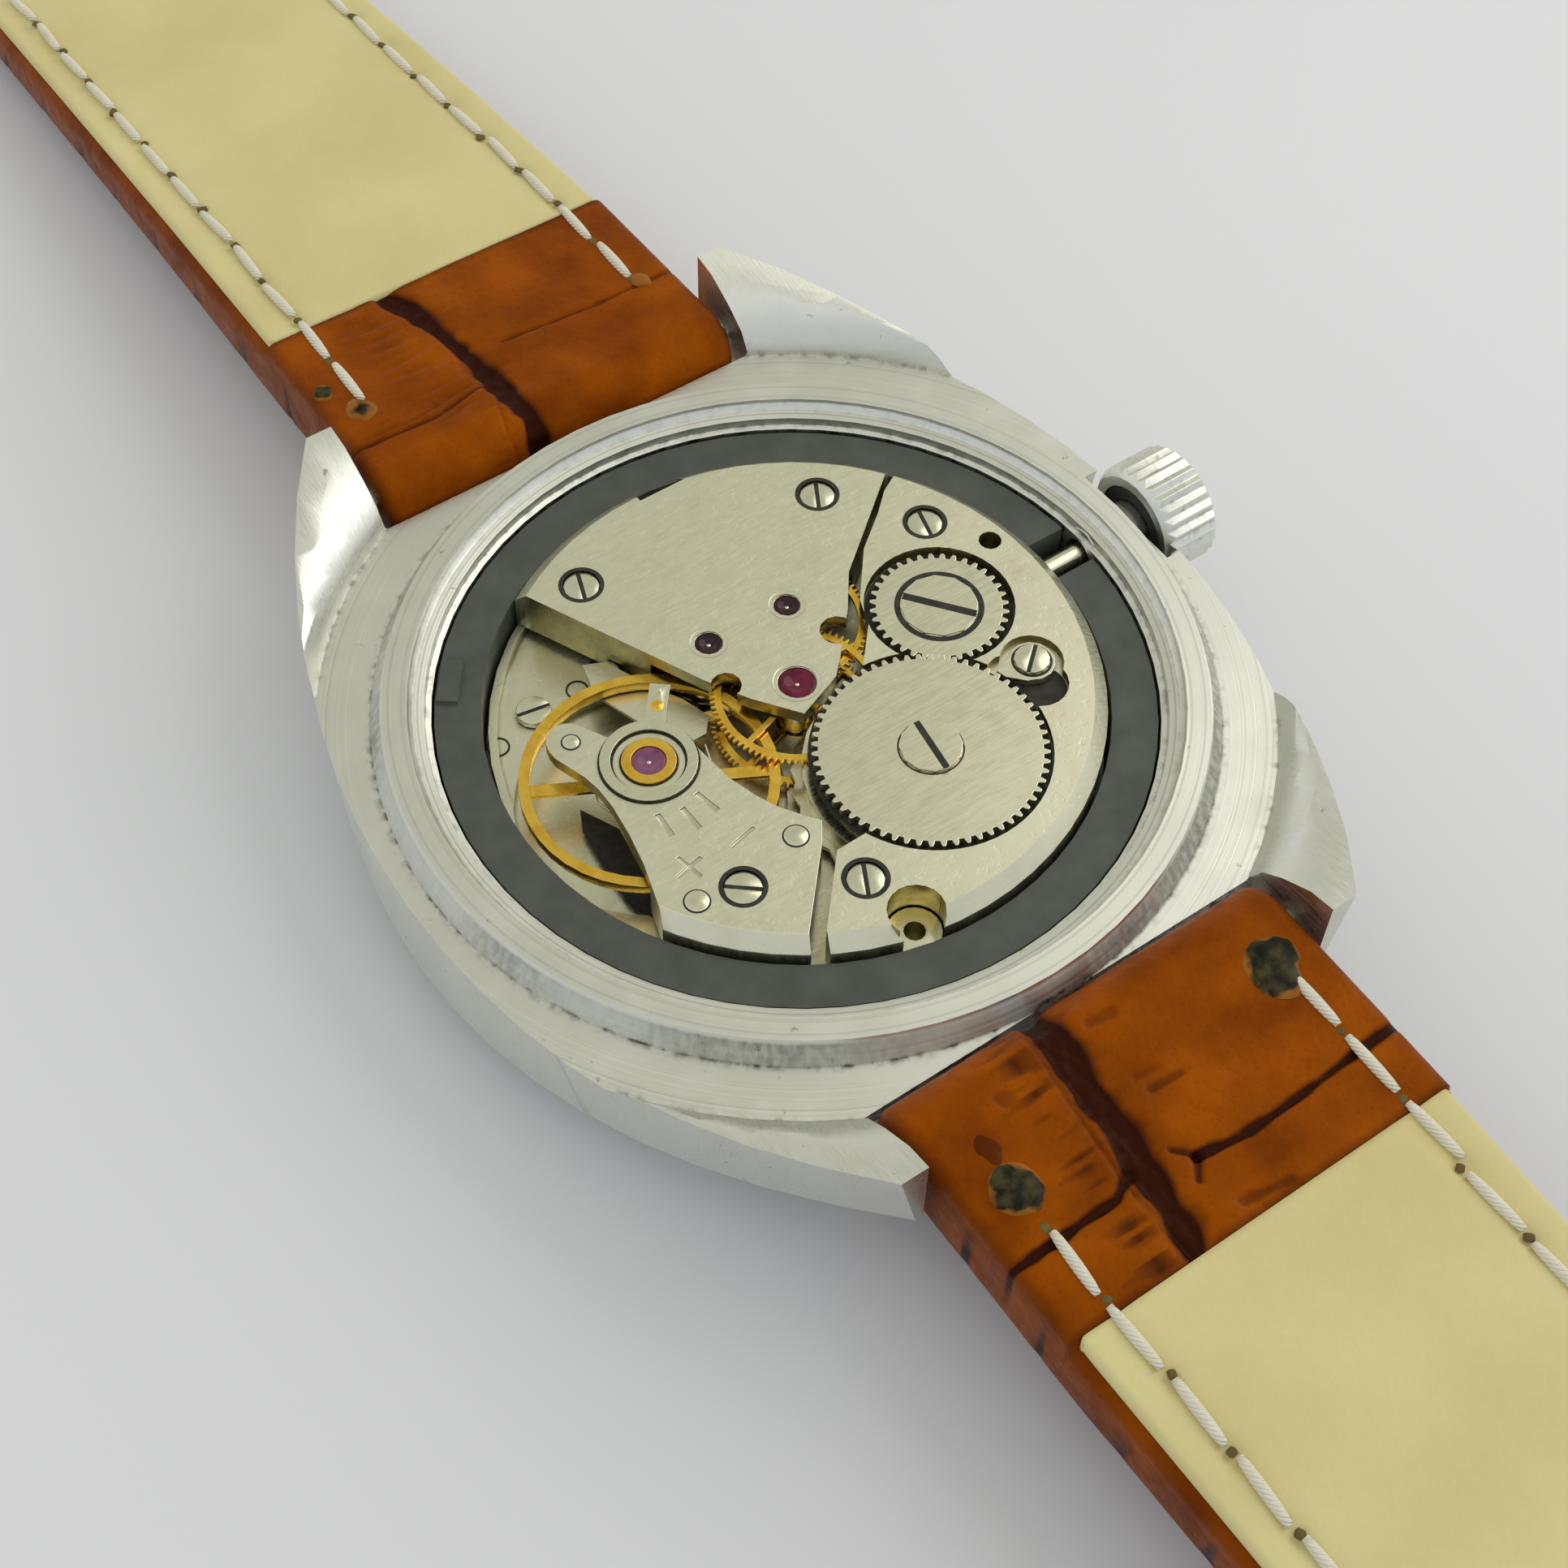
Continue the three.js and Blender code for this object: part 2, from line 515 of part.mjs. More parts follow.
const TAIL = {
  end: 133,
  high: [[19, 8.1], [30, 7.7], [40, 6.9], [52, 5.7], [66, 4.2], [80, 3.1], [96, 2.5], [134, 2.3]],
  low: [[19, 4.1], [30, 3.9], [40, 3.5], [52, 2.6], [66, 1.3], [80, 0.4], [92, 0], [134, 0]],
};
const BUCKLE_HALF = {
  end: 90,
  high: [[19, 8.1], [30, 7.8], [45, 7.5], [60, 7.2], [72, 7.0], [91, 7.0]],
  low: [[19, 4.1], [30, 3.95], [45, 4.1], [60, 4.4], [72, 4.6], [91, 4.6]],
};

// Half-width of the strap: parallel at the lugs, tapered after that, and rounded at the tail's tip.
function halfWidth(half, y) {
  const tapered = STRAP_HALF_WIDTH - Math.min(1, Math.max(0, (y - 30) / 50));
  const tip = half === TAIL ? Math.min(1, (TAIL.end - y) / 9) : 1;
  return tapered * Math.sqrt(Math.max(0.06, 1 - (1 - tip) ** 2));
}

// A length of strap between two heights, as an outline in Y and Z given its width by halfWidth.
function strapStrip(half, outline, inset = 0) {
  const body = flat(polygon(outline), -1, 1).rotate([90, 0, 90]);
  return body.warp((v) => {
    v[0] *= halfWidth(half, v[1]) - inset;
  });
}

function stations(half, from) {
  const inner = [24, 29, 34, 40, 46, 52, 59, 66, 73, 80, 92, 110, 124, 128, 130.5, 132.3];
  return [from, ...inner.filter((y) => y > from + 1 && y < half.end - 0.5), half.end];
}

const LINING = 0.7; // thickness

function strapLeather(half) {
  const ys = stations(half, BAR_Y);
  const low = ys.map((y) => [y, blend(half.low, y)]);
  const lined = ys.filter((y) => y >= LINING_START);
  const underLining = lined.reverse().map((y) => [y, blend(half.high, y) - LINING]);
  const high = [LINING_START, 24].map((y) => [y, blend(half.high, y)]);
  const roll = arc([BAR_Y, BAR_Z], ROLL, degrees(90), degrees(270), 10);
  const body = strapStrip(half, [...low.slice(1), ...underLining, ...high, ...roll]);
  return cut(body, aboutBar(disc(0.8, -12, 12, 16), BAR_Y, BAR_Z));
}

function strapLining(half) {
  const ys = stations(half, LINING_START + 0.06).filter((y) => y >= LINING_START);
  const low = ys.map((y) => [y, blend(half.high, y) - LINING + GAP]);
  const high = ys.map((y) => [y, blend(half.high, y)]);
  return strapStrip(half, [...low, ...high.reverse()], 0.35);
}

const HOLES = [76, 82, 88, 94, 100, 106, 112];
const tailHoles = () => HOLES.map((y) => post([0, y], 0.9, -1, 9, 12));

const TONGUE_SLOT = [86.2, 91]; // in the buckle half's end
const BUCKLE_Y = 89;
const BUCKLE_Z = 5.8;

function tongueSlot() {
  return block([-1.3, TONGUE_SLOT[0], 0], [1.3, TONGUE_SLOT[1], 12]);
}

const buckleBarBore = () => aboutBar(disc(0.8, -12, 12, 16), BUCKLE_Y, BUCKLE_Z);

function buckleFrame() {
  const [outerX, innerX] = [10.6, 8.9];
  const [far, bend] = [99.5, 1.9];
  const sides = [-1, 1].map((s) => {
    const [x0, x1] = s > 0 ? [innerX, outerX] : [-outerX, -innerX];
    return block([x0, BUCKLE_Y - 1.3, BUCKLE_Z - 1.2], [x1, far, BUCKLE_Z + 1.0]);
  });
  const front = block([-outerX, far - bend, BUCKLE_Z - 1.8], [outerX, far, BUCKLE_Z + 1.0]);
  const holes = aboutBar(disc(0.5, -10, 10, 12), BUCKLE_Y, BUCKLE_Z);
  return cut(join(...sides, front), holes);
}

// A spring bar: a tube of half-length `half` with a thin tip `tip` long at each end.
const springBar = (y, z, half, tip) => aboutBar(turned([
  [0, -half - tip], [0.42, -half - tip], [0.42, -half], [0.72, -half],
  [0.72, half], [0.42, half], [0.42, half + tip], [0, half + tip],
], 16), y, z);

function buckleTongue() {
  const half = 0.75; // of its width
  const eye = aboutBar(disc(1.25, -half, half, 20), BUCKLE_Y, BUCKLE_Z);
  const blade = block([-half, BUCKLE_Y + 0.95, BUCKLE_Z - 2.6], [half, 100.3, BUCKLE_Z - 1.85]);
  const neck = block([-half, BUCKLE_Y + 0.9, BUCKLE_Z - 2.5], [half, BUCKLE_Y + 1.7, BUCKLE_Z]);
  return cut(join(eye, blade, neck), buckleBarBore());
}

// A leather loop round the strap, with room under it for the tail.
function keeper(y, width, half, under, over) {
  const wall = 0.9;
  const [near, far] = [y - width / 2, y + width / 2];
  const outer = block([-half - wall, near, under - wall], [half + wall, far, over + wall]);
  return cut(outer, block([-half, y - width, under], [half, y + width, over]));
}

// ---- the watch ----
node("case_body", "case_steel", caseBody());
node("crystal", "crystal", crystal());
node("movement_ring", "grey_plastic", movementRing());
node("main_plate", "nickel", mainPlate());
node("train_bridge", "nickel", trainBridge());
node("barrel_bridge", "nickel", barrelBridge());
node("balance_cock", "nickel", balanceCock());
node("pallet_bridge", "nickel", palletBridge());

node("dial", "dial_white", dial());
node("hour_hand", "bright_steel", hand(8, 2, 0.55, 2.45, 2.6, 1.2, 0.88, 125));
node("minute_hand", "bright_steel", hand(12, 2.5, 0.42, 2.12, 2.27, 0.9, 0.58, 240));
node("seconds_hand", "bright_steel", hand(12, 3.5, 0.14, 1.8, 1.92, 0.5, 0.14, 20));
node("hour_wheel", "gilt", cut(
  join(flat(polygon(gearOutline(20, 2.3, 2.45)), 3.68, 3.84), disc(0.85, 2.4, 3.8, 20)),
  disc(0.62, 2, 5, 20)));
node("cannon_pinion", "bright_steel", cut(
  join(disc(0.7, 3.92, 4.2, 12), disc(0.55, 2.08, 4.0, 20)), disc(0.37, 2, 5, 16)));
node("minute_wheel", "gilt", moved(
  join(flat(polygon(gearOutline(18, 2.15, 2.3)), 3.95, 4.1), disc(0.55, 3.68, 4.0, 10)), MINUTE_WHEEL));

node("centre_wheel", "gilt", centreWheel());
node("third_wheel", "gilt", thirdWheel());
node("fourth_wheel", "gilt", fourthWheel());
node("escape_wheel", "bright_steel", escapeWheel());
node("pallet_fork", "bright_steel", palletFork());
node("balance_wheel", "gilt", balanceWheel());
node("hairspring", "bright_steel", moved(spiral(0.75, 2.7, 4, 0.08, 6.46, 6.6, 40), BALANCE));
node("barrel", "bright_steel", barrel());
node("mainspring", "bright_steel", mainspring());
node("barrel_arbor", "bright_steel", barrelArbor());
node("ratchet_wheel", "bright_steel", ratchetWheel());
node("ratchet_screw", "bright_steel", screw(BARREL, 1.3, 0.2, 0.35, 7.67, 6.7, 82));
node("crown_wheel", "bright_steel", crownWheel());
node("crown_wheel_screw", "bright_steel", screw(CROWN_WHEEL, 1.65, 0.24, 0.5, 7.4, 6.55, -52));
node("click", "bright_steel", click());
node("click_screw", "bright_steel", screw(CLICK, 0.75, 0.16, 0.32, 7.58, 6.7, 40));

node("regulator", "bright_steel", regulator());
node("balance_setting", "gilt", moved(ring(0.72, 1.12, 7.16, 7.56, 28), BALANCE));
node("balance_jewel", "ruby", post(BALANCE, 0.7, 7.2, 7.5));
node("centre_jewel", "ruby", cut(disc(0.82, 6.97, 7.34, 20), disc(0.18, 6, 8, 10)));
node("third_jewel", "ruby", cut(post(THIRD, 0.58, 6.97, 7.34), post(THIRD, 0.15, 6, 8, 10)));
node("escape_jewel", "ruby", post(ESCAPE, 0.6, 6.97, 7.34));

const bridgeScrew = (at, slotAngle) => screw(at, 0.78, 0.5, 0.42, 7.34, 4.3, slotAngle);
TRAIN_SCREWS.forEach((at, i) => node(`train_screw_${i + 1}`, "bright_steel", bridgeScrew(at, [70, 60][i])));
BARREL_SCREWS.forEach((at, i) => node(`barrel_screw_${i + 1}`, "bright_steel", bridgeScrew(at, [75, 62][i])));
node("cock_screw", "bright_steel", bridgeScrew(COCK_SCREW, -40));
node("plate_screw", "bright_steel", screw(PLATE_SCREW, 0.75, 0.3, 0.38, 5.15, 4.2, -10));

node("stem", "bright_steel", stem());
node("winding_pinion", "bright_steel", toothedSleeve(9.3, 10.6, 1.14, 0.85, 12, 0.46));
node("clutch_wheel", "bright_steel", toothedSleeve(7.95, 9.2, 0.75, 0.6, 12, 0.46));
node("setting_lever", "bright_steel", settingLever());
node("crown", "case_steel", crown());
node("crown_gasket", "rubber", crownGasket());

node("spring_bar_6", "bright_steel", springBar(BAR_Y, BAR_Z, 9.3, 0.9));
node("spring_bar_12", "bright_steel", springBar(-BAR_Y, BAR_Z, 9.3, 0.9));
node("strap_tail", "tan_leather", cut(strapLeather(TAIL), ...tailHoles()));
node("strap_tail_lining", "cream_lining", cut(strapLining(TAIL), ...tailHoles()));
node("strap_buckle_half", "tan_leather", to12(cut(strapLeather(BUCKLE_HALF), tongueSlot(), buckleBarBore())));
node("strap_buckle_lining", "cream_lining",
  to12(cut(strapLining(BUCKLE_HALF), tongueSlot(), buckleBarBore())));
node("buckle_frame", "case_steel", to12(buckleFrame()));
node("buckle_bar", "bright_steel", springBar(-BUCKLE_Y, BUCKLE_Z, 8.8, 1.1));
node("buckle_tongue", "case_steel", to12(buckleTongue()));
node("fixed_keeper", "tan_leather", to12(keeper(81, 5, 8.25, 0.95, 7.2)));
node("free_keeper", "tan_leather", to12(keeper(70, 6, 8.75, 0.95, 7.45)));

export default watch;
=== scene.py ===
"""The wristwatch as it looks: fine finishes, leather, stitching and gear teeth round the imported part."""

import json
import math

import bmesh
import bpy
import numpy as np
from mathutils import Matrix, Vector

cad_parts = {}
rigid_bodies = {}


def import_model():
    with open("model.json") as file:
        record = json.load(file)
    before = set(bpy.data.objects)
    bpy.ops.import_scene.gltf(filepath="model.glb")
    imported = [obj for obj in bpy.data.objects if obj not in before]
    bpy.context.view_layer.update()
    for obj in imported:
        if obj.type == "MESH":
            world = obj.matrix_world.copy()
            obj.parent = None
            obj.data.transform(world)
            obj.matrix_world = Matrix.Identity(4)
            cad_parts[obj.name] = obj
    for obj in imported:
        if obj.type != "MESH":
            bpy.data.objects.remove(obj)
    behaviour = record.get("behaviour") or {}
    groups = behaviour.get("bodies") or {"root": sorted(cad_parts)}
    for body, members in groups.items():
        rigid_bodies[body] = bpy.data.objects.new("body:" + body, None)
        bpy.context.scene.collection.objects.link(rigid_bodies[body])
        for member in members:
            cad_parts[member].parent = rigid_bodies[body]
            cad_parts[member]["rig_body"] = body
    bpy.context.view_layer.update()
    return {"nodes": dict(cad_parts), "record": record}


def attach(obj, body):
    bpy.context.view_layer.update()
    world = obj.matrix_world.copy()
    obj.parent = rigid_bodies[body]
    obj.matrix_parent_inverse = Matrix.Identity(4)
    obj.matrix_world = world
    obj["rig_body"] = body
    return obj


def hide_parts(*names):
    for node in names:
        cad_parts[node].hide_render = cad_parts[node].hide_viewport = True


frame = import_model()

# Lengths are in millimetres, in the part's frame: +X to the crown, +Y to 6 o'clock, the movement facing up.
MM = 0.001
CAMERA_LENS = 57.95
CAMERA_SENSOR = 36
CAMERA_PLACE = (-0.03796, -0.05134, 0.08890)  # metres
CAMERA_TURN = (35.7415, -0.8318, -34.9310)  # degrees
FLOOR_REACH = 0.8  # metres
BRIDGE_TOP = 7.4
LINE_LEVEL = BRIDGE_TOP + 0.006  # dark lines lie just over the bridges
RIM_LEVEL = 7.408  # polished rims of the jewel holes
JEWEL_TOP = 7.33
SCREW_TOP = 7.34
PLATE_LINE = 4.83  # just over the main plate's floor under the balance
DIAL_FACE = 3.14
BALANCE = (-7.25, 0.0)
BARREL = (2.5, -5.8)
CENTRE = (0, 0)
CROWN_WHEEL = (7.3, 0.0)
THIRD = (2.0, 3.6)
ESCAPE = (-1.85, 3.75)
CLICK = (8.65, -4.55)
CLAMP = (-2.6, -11.7)
TRAIN_SCREWS = ((-4.54, 9.36), (6.66, 7.96))
BARREL_SCREWS = ((9.57, 4.05), (-3.35, -9.4))
COCK_SCREW = (-7.5, -7.05)
SCREW_RADIUS = 0.78
STEEL_COLOR = (0.76, 0.765, 0.7)
NICKEL_COLOR = (0.77, 0.755, 0.58)
CASE_FLAT_RADIUS = 19.7  # the case's turned face ends here and its brushed flanks begin
NOISE_CELLS = 64
TURN_STEPS = 64
nodes_of_part = frame["nodes"]


# ---- camera, light and floor ----
def add_camera():
    """The camera of the main view, in metres."""
    data = bpy.data.cameras.new("camera")
    data.lens = CAMERA_LENS
    data.sensor_width = CAMERA_SENSOR
    data.clip_start = 0.001
    data.clip_end = 5
    made = bpy.data.objects.new("camera", data)
    made.location = CAMERA_PLACE
    made.rotation_euler = [math.radians(angle) for angle in CAMERA_TURN]
    bpy.context.scene.collection.objects.link(made)
    bpy.context.scene.camera = made


def add_floor():
    corners = [(x * FLOOR_REACH, y * FLOOR_REACH, 0) for x, y in ((-1, -1), (1, -1), (1, 1), (-1, 1))]
    floor_mesh = bpy.data.meshes.new("floor")
    floor_mesh.from_pydata(corners, [], [(0, 1, 2, 3)])
    floor_mesh.materials.append(floor_paper())
    floor = bpy.data.objects.new("floor", floor_mesh)
    bpy.context.scene.collection.objects.link(floor)


def add_area_light(name, place, target, size, power, color):
    """A rectangular light that faces its target."""
    data = bpy.data.lights.new(name, "AREA")
    data.shape = "RECTANGLE"
    data.size, data.size_y = size
    data.energy = power
    data.color = color
    made = bpy.data.objects.new(name, data)
    made.location = place
    made.rotation_euler = (made.location - Vector(target)).to_track_quat("Z", "Y").to_euler()
    bpy.context.scene.collection.objects.link(made)


def add_world():
    """A pale room whose light changes with direction, dimmer where the bridges mirror it to the camera."""
    world = bpy.data.worlds.new("studio")
    bpy.context.scene.world = world
    world.use_nodes = True
    tree = world.node_tree
    background = tree.nodes["Background"]
    direction = tree.nodes.new("ShaderNodeTexCoord")
    along = tree.nodes.new("ShaderNodeVectorMath")
    along.operation = "DOT_PRODUCT"
    along.inputs[1].default_value = (0.36, 0.5, 0.79)
    tree.links.new(direction.outputs["Generated"], along.inputs[0])
    ramp = tree.nodes.new("ShaderNodeValToRGB")
    stops = (
        (0.0, (0.6, 0.63, 0.66)),
        (0.55, (0.84, 0.85, 0.84)),
        (0.8, (0.62, 0.62, 0.56)),
        (1.0, (0.5, 0.5, 0.42)),
    )
    while len(ramp.color_ramp.elements) < len(stops):
        ramp.color_ramp.elements.new(0.5)
    for element, (position, color) in zip(ramp.color_ramp.elements, stops):
        element.position = position
        element.color = (*color, 1)
    tree.links.new(along.outputs["Value"], ramp.inputs[0])
    tree.links.new(ramp.outputs[0], background.inputs["Color"])
    background.inputs["Strength"].default_value = 1.04
    bpy.context.scene.view_settings.view_transform = "Standard"


# ---- node helpers ----
class Finish:
    """A material under construction, with its shader and its object coordinates in millimetres."""

    def __init__(self, name, color, metallic=0.0, roughness=0.5):
        self.material = bpy.data.materials.new(name)
        self.material.use_nodes = True
        self.tree = self.material.node_tree
        self.shader = self.tree.nodes["Principled BSDF"]
        self.set("Base Color", (*color, 1))
        self.set("Metallic", metallic)
        self.set("Roughness", roughness)
        self.place = self.add("ShaderNodeTexCoord")
        scaled = self.add("ShaderNodeVectorMath", operation="SCALE")
        scaled.inputs["Scale"].default_value = 1 / MM
        self.link(self.place.outputs["Object"], scaled.inputs[0])
        self.mm = scaled.outputs[0]
        self.bump_end = None

    def add(self, kind, **properties):
        made = self.tree.nodes.new(kind)
        for key, value in properties.items():
            setattr(made, key, value)
        return made

    def link(self, source, target):
        self.tree.links.new(source, target)

    def feed(self, socket, value):
        """Links a socket to another one, or sets it to a number or a colour."""
        if isinstance(value, tuple):
            socket.default_value = (*value, 1)
        elif isinstance(value, (int, float)):
            socket.default_value = value
        else:
            self.link(value, socket)

    def attribute(self, name):
        return self.add("ShaderNodeAttribute", attribute_name=name).outputs["Fac"]

    def set(self, name, value):
        self.shader.inputs[name].default_value = value

    def drive(self, name, source):
        self.link(source, self.shader.inputs[name])

    def stretched(self, scale, turn=0.0):
        mapping = self.add("ShaderNodeMapping")
        mapping.inputs["Scale"].default_value = scale
        mapping.inputs["Rotation"].default_value = (0, 0, turn)
        self.link(self.mm, mapping.inputs["Vector"])
        return mapping.outputs[0]

    def noise(self, scale, detail=3.0, vector=None, roughness=0.5):
        made = self.add("ShaderNodeTexNoise")
        made.inputs["Scale"].default_value = scale
        made.inputs["Detail"].default_value = detail
        made.inputs["Roughness"].default_value = roughness
        self.link(self.mm if vector is None else vector, made.inputs["Vector"])
        return made.outputs[0]

    def cells(self, scale, vector=None):
        made = self.add("ShaderNodeTexVoronoi")
        made.inputs["Scale"].default_value = scale
        self.link(self.mm if vector is None else vector, made.inputs["Vector"])
        return made.outputs["Distance"]

    def spread(self, source, low_in, high_in, low_out=0.0, high_out=1.0):
        made = self.add("ShaderNodeMapRange")
        limits = {"From Min": low_in, "From Max": high_in, "To Min": low_out, "To Max": high_out}
        for name, value in limits.items():
            made.inputs[name].default_value = value
        self.link(source, made.inputs["Value"])
        return made.outputs[0]

    def math(self, operation, a, b=None):
        made = self.add("ShaderNodeMath", operation=operation)
        for socket, value in zip(made.inputs, (a, b)):
            if value is not None:
                self.feed(socket, value)
        return made.outputs[0]

    def mix(self, share, first, second):
        made = self.add("ShaderNodeMix", data_type="RGBA")
        self.feed(made.inputs["Factor"], share)
        self.feed(made.inputs[6], first)
        self.feed(made.inputs[7], second)
        return made.outputs[2]

    def bump(self, height, depth_mm, strength=1.0):
        """Adds relief: a height from 0 to 1 stands for depth_mm."""
        made = self.add("ShaderNodeBump")
        made.inputs["Strength"].default_value = strength
        made.inputs["Distance"].default_value = depth_mm * MM
        self.link(height, made.inputs["Height"])
        if self.bump_end is not None:
            self.link(self.bump_end, made.inputs["Normal"])
        self.bump_end = made.outputs[0]
        self.link(self.bump_end, self.shader.inputs["Normal"])

    def painted_corner_shade(self, distance_mm, sharpness=0.55):
        """Painted shade: 1 in tight corners and 0 in the open, from ambient occlusion."""
        made = self.add("ShaderNodeAmbientOcclusion", samples=6)
        made.inputs["Distance"].default_value = distance_mm * MM
        return self.spread(made.outputs["AO"], sharpness, 0.95, 1.0, 0.0)

    def radius(self):
        """Distance from the Z axis in millimetres."""
        flat = self.add("ShaderNodeVectorMath", operation="MULTIPLY")
        flat.inputs[1].default_value = (1, 1, 0)
        self.link(self.mm, flat.inputs[0])
        length = self.add("ShaderNodeVectorMath", operation="LENGTH")
        self.link(flat.outputs[0], length.inputs[0])
        return length.outputs["Value"]

    def vector(self, x, y, z):
        made = self.add("ShaderNodeCombineXYZ")
        for socket, value in zip(made.inputs, (x, y, z)):
            self.feed(socket, value)
        return made.outputs[0]


# ---- finishes ----
def case_steel():
    """Turned rings on the face, brushing on the flanks, painted shade in the corners, dark dents and a
    stained chamfer.
    """
    f = Finish("case_steel", STEEL_COLOR, 1.0, 0.3)
    turned = f.noise(1.0, 2.0, f.vector(f.math("MULTIPLY", f.radius(), 9.0), 0.0, 0.0))
    brushed = f.noise(1.0, 3.0, f.stretched((16, 0.7, 5), 0.35))
    outside = f.spread(f.radius(), CASE_FLAT_RADIUS, CASE_FLAT_RADIUS + 0.6)
    lines = f.mix(outside, turned, brushed)
    blotches = f.noise(0.45, 4.0)
    f.bump(lines, 0.012, 0.6)
    chamfer = f.math("MULTIPLY", f.spread(f.radius(), 16.98, 17.06), f.spread(f.radius(), 17.62, 17.5))
    rough = f.math("ADD", f.spread(lines, 0.3, 0.7, 0.22, 0.42), f.spread(blotches, 0.4, 0.7, 0.0, 0.1))
    f.drive("Roughness", f.math("ADD", rough, f.math("MULTIPLY", chamfer, 0.3)))
    specks = f.spread(f.noise(2.2, 4.0), 0.48, 0.66)
    # painted shade in tight corners, broken up by specks
    specked_corner_shade = f.math("MULTIPLY", f.painted_corner_shade(0.4), specks)
    dents = f.spread(f.noise(1.3, 5.0, roughness=0.7), 0.66, 0.72, 0.0, 0.6)
    rings = f.noise(1.0, 3.0, f.vector(f.math("MULTIPLY", f.radius(), 3.5), 0.0, 0.0))
    inside = f.spread(f.radius(), CASE_FLAT_RADIUS, CASE_FLAT_RADIUS + 0.6, 1.0, 0.0)
    cuts = f.math("MULTIPLY", f.spread(rings, 0.3, 0.42, 0.55, 0.0), inside)
    steel = f.mix(cuts, STEEL_COLOR, (0.3, 0.3, 0.25))
    # the dents are wear; the darkening in the corners is painted shade
    worn_and_shaded = f.mix(f.math("MAXIMUM", specked_corner_shade, dents), steel, (0.07, 0.06, 0.04))
    # the chamfer outside the rim is stained and ribbed
    ribs = f.spread(f.noise(1.0, 2.0, f.stretched((3.5, 3.5, 0.1))), 0.35, 0.65, 0.35, 0.9)
    patches = f.spread(f.noise(0.09, 1.0), 0.45, 0.6, 0.15, 0.75)
    stained = f.math("MULTIPLY", f.math("MULTIPLY", chamfer, ribs), patches)
    f.drive("Base Color", f.mix(stained, worn_and_shaded, (0.22, 0.225, 0.19)))
    return f.material


def nickel():
    """Pitted plates and bridges, with a painted reflection of the gilt wheels and painted shade on their
    inner walls, and painted shade in their corners.
    """
    f = Finish("nickel", NICKEL_COLOR, 1.0, 0.34)
    pits = f.spread(f.noise(2.6, 5.0, roughness=0.65), 0.55, 0.75)
    grain = f.noise(9.0, 3.0)
    striations = f.noise(1.0, 2.0, f.stretched((1.2, 14, 1), 0.45))
    f.bump(pits, -0.012, 0.6)
    f.bump(grain, 0.003, 0.5)
    f.bump(striations, 0.003, 0.4)
    f.drive("Roughness", f.spread(striations, 0.3, 0.7, 0.27, 0.4))
    stain = f.spread(f.noise(0.5, 4.0), 0.5, 0.75, 0.0, 0.35)
    worn_and_shaded = f.mix(stain, NICKEL_COLOR, (0.62, 0.59, 0.42))
    # painted reflection of the gilt wheels mixed with painted shade, on the steep walls inside radius 12
    split = f.add("ShaderNodeSeparateXYZ")
    f.link(f.place.outputs["Normal"], split.inputs[0])
    wall = f.spread(f.math("ABSOLUTE", split.outputs["Z"]), 0.3, 0.6, 1.0, 0.0)
    inner = f.math("MULTIPLY", wall, f.spread(f.radius(), 12.0, 12.3, 0.8, 0.0))
    worn_and_shaded = f.mix(inner, worn_and_shaded, f.mix(f.noise(1.8, 4.0), (0.5, 0.42, 0.12), (0.1, 0.085, 0.03)))
    # painted shade in the corners, from ambient occlusion
    f.drive("Base Color", f.mix(f.math("MULTIPLY", f.painted_corner_shade(0.2), 0.5), worn_and_shaded, (0.1, 0.09, 0.06)))
    return f.material


def bright_steel():
    f = Finish("bright_steel", NICKEL_COLOR, 1.0, 0.22)
    brushed = f.noise(1.0, 2.0, f.stretched((1.0, 12, 1), 0.8))
    f.bump(brushed, 0.002, 0.3)
    f.drive("Roughness", f.spread(brushed, 0.3, 0.7, 0.18, 0.32))
    stain = f.spread(f.noise(1.1, 4.0), 0.52, 0.75, 0.0, 0.35)
    f.drive("Base Color", f.mix(stain, NICKEL_COLOR, (0.6, 0.57, 0.42)))
    return f.material


def gilt():
    f = Finish("gilt", (0.9, 0.56, 0.09), 1.0, 0.24)
    brushed = f.noise(1.0, 2.0, f.stretched((10, 1.0, 1), 0.3))
    f.bump(brushed, 0.002, 0.3)
    f.drive("Roughness", f.spread(brushed, 0.3, 0.7, 0.16, 0.32))
    f.drive("Base Color", f.mix(f.spread(f.noise(1.3, 3.0), 0.4, 0.7), (0.95, 0.62, 0.1), (0.82, 0.47, 0.06)))
    return f.material


def brass():
    f = Finish("brass", (0.62, 0.5, 0.16), 1.0, 0.25)
    f.drive("Base Color", f.mix(f.noise(1.5, 3.0), (0.7, 0.58, 0.2), (0.4, 0.3, 0.07)))
    f.drive("Roughness", f.spread(f.noise(2.0, 3.0), 0.3, 0.7, 0.15, 0.35))
    return f.material


# near-black painted shade, laid as flat sheets over gaps, slots and openings
def painted_shade_black():
    f = Finish("painted_shade_black", (0.012, 0.011, 0.008), 0.0, 0.6)
    dust = f.spread(f.noise(2.5, 3.0), 0.4, 0.7)
    f.drive("Base Color", f.mix(dust, (0.006, 0.006, 0.005), (0.03, 0.026, 0.014)))
    return f.material


def stone(name, light, dark):
    """A polished jewel, darker towards parts of its body."""
    f = Finish(name, light, 0.0, 0.08)
    f.set("Specular IOR Level", 0.35)
    f.drive("Base Color", f.mix(f.spread(f.noise(1.6, 2.0), 0.3, 0.7), light, dark))
    f.drive("Roughness", f.spread(f.noise(3.0, 2.0), 0.3, 0.7, 0.05, 0.14))
    return f.material


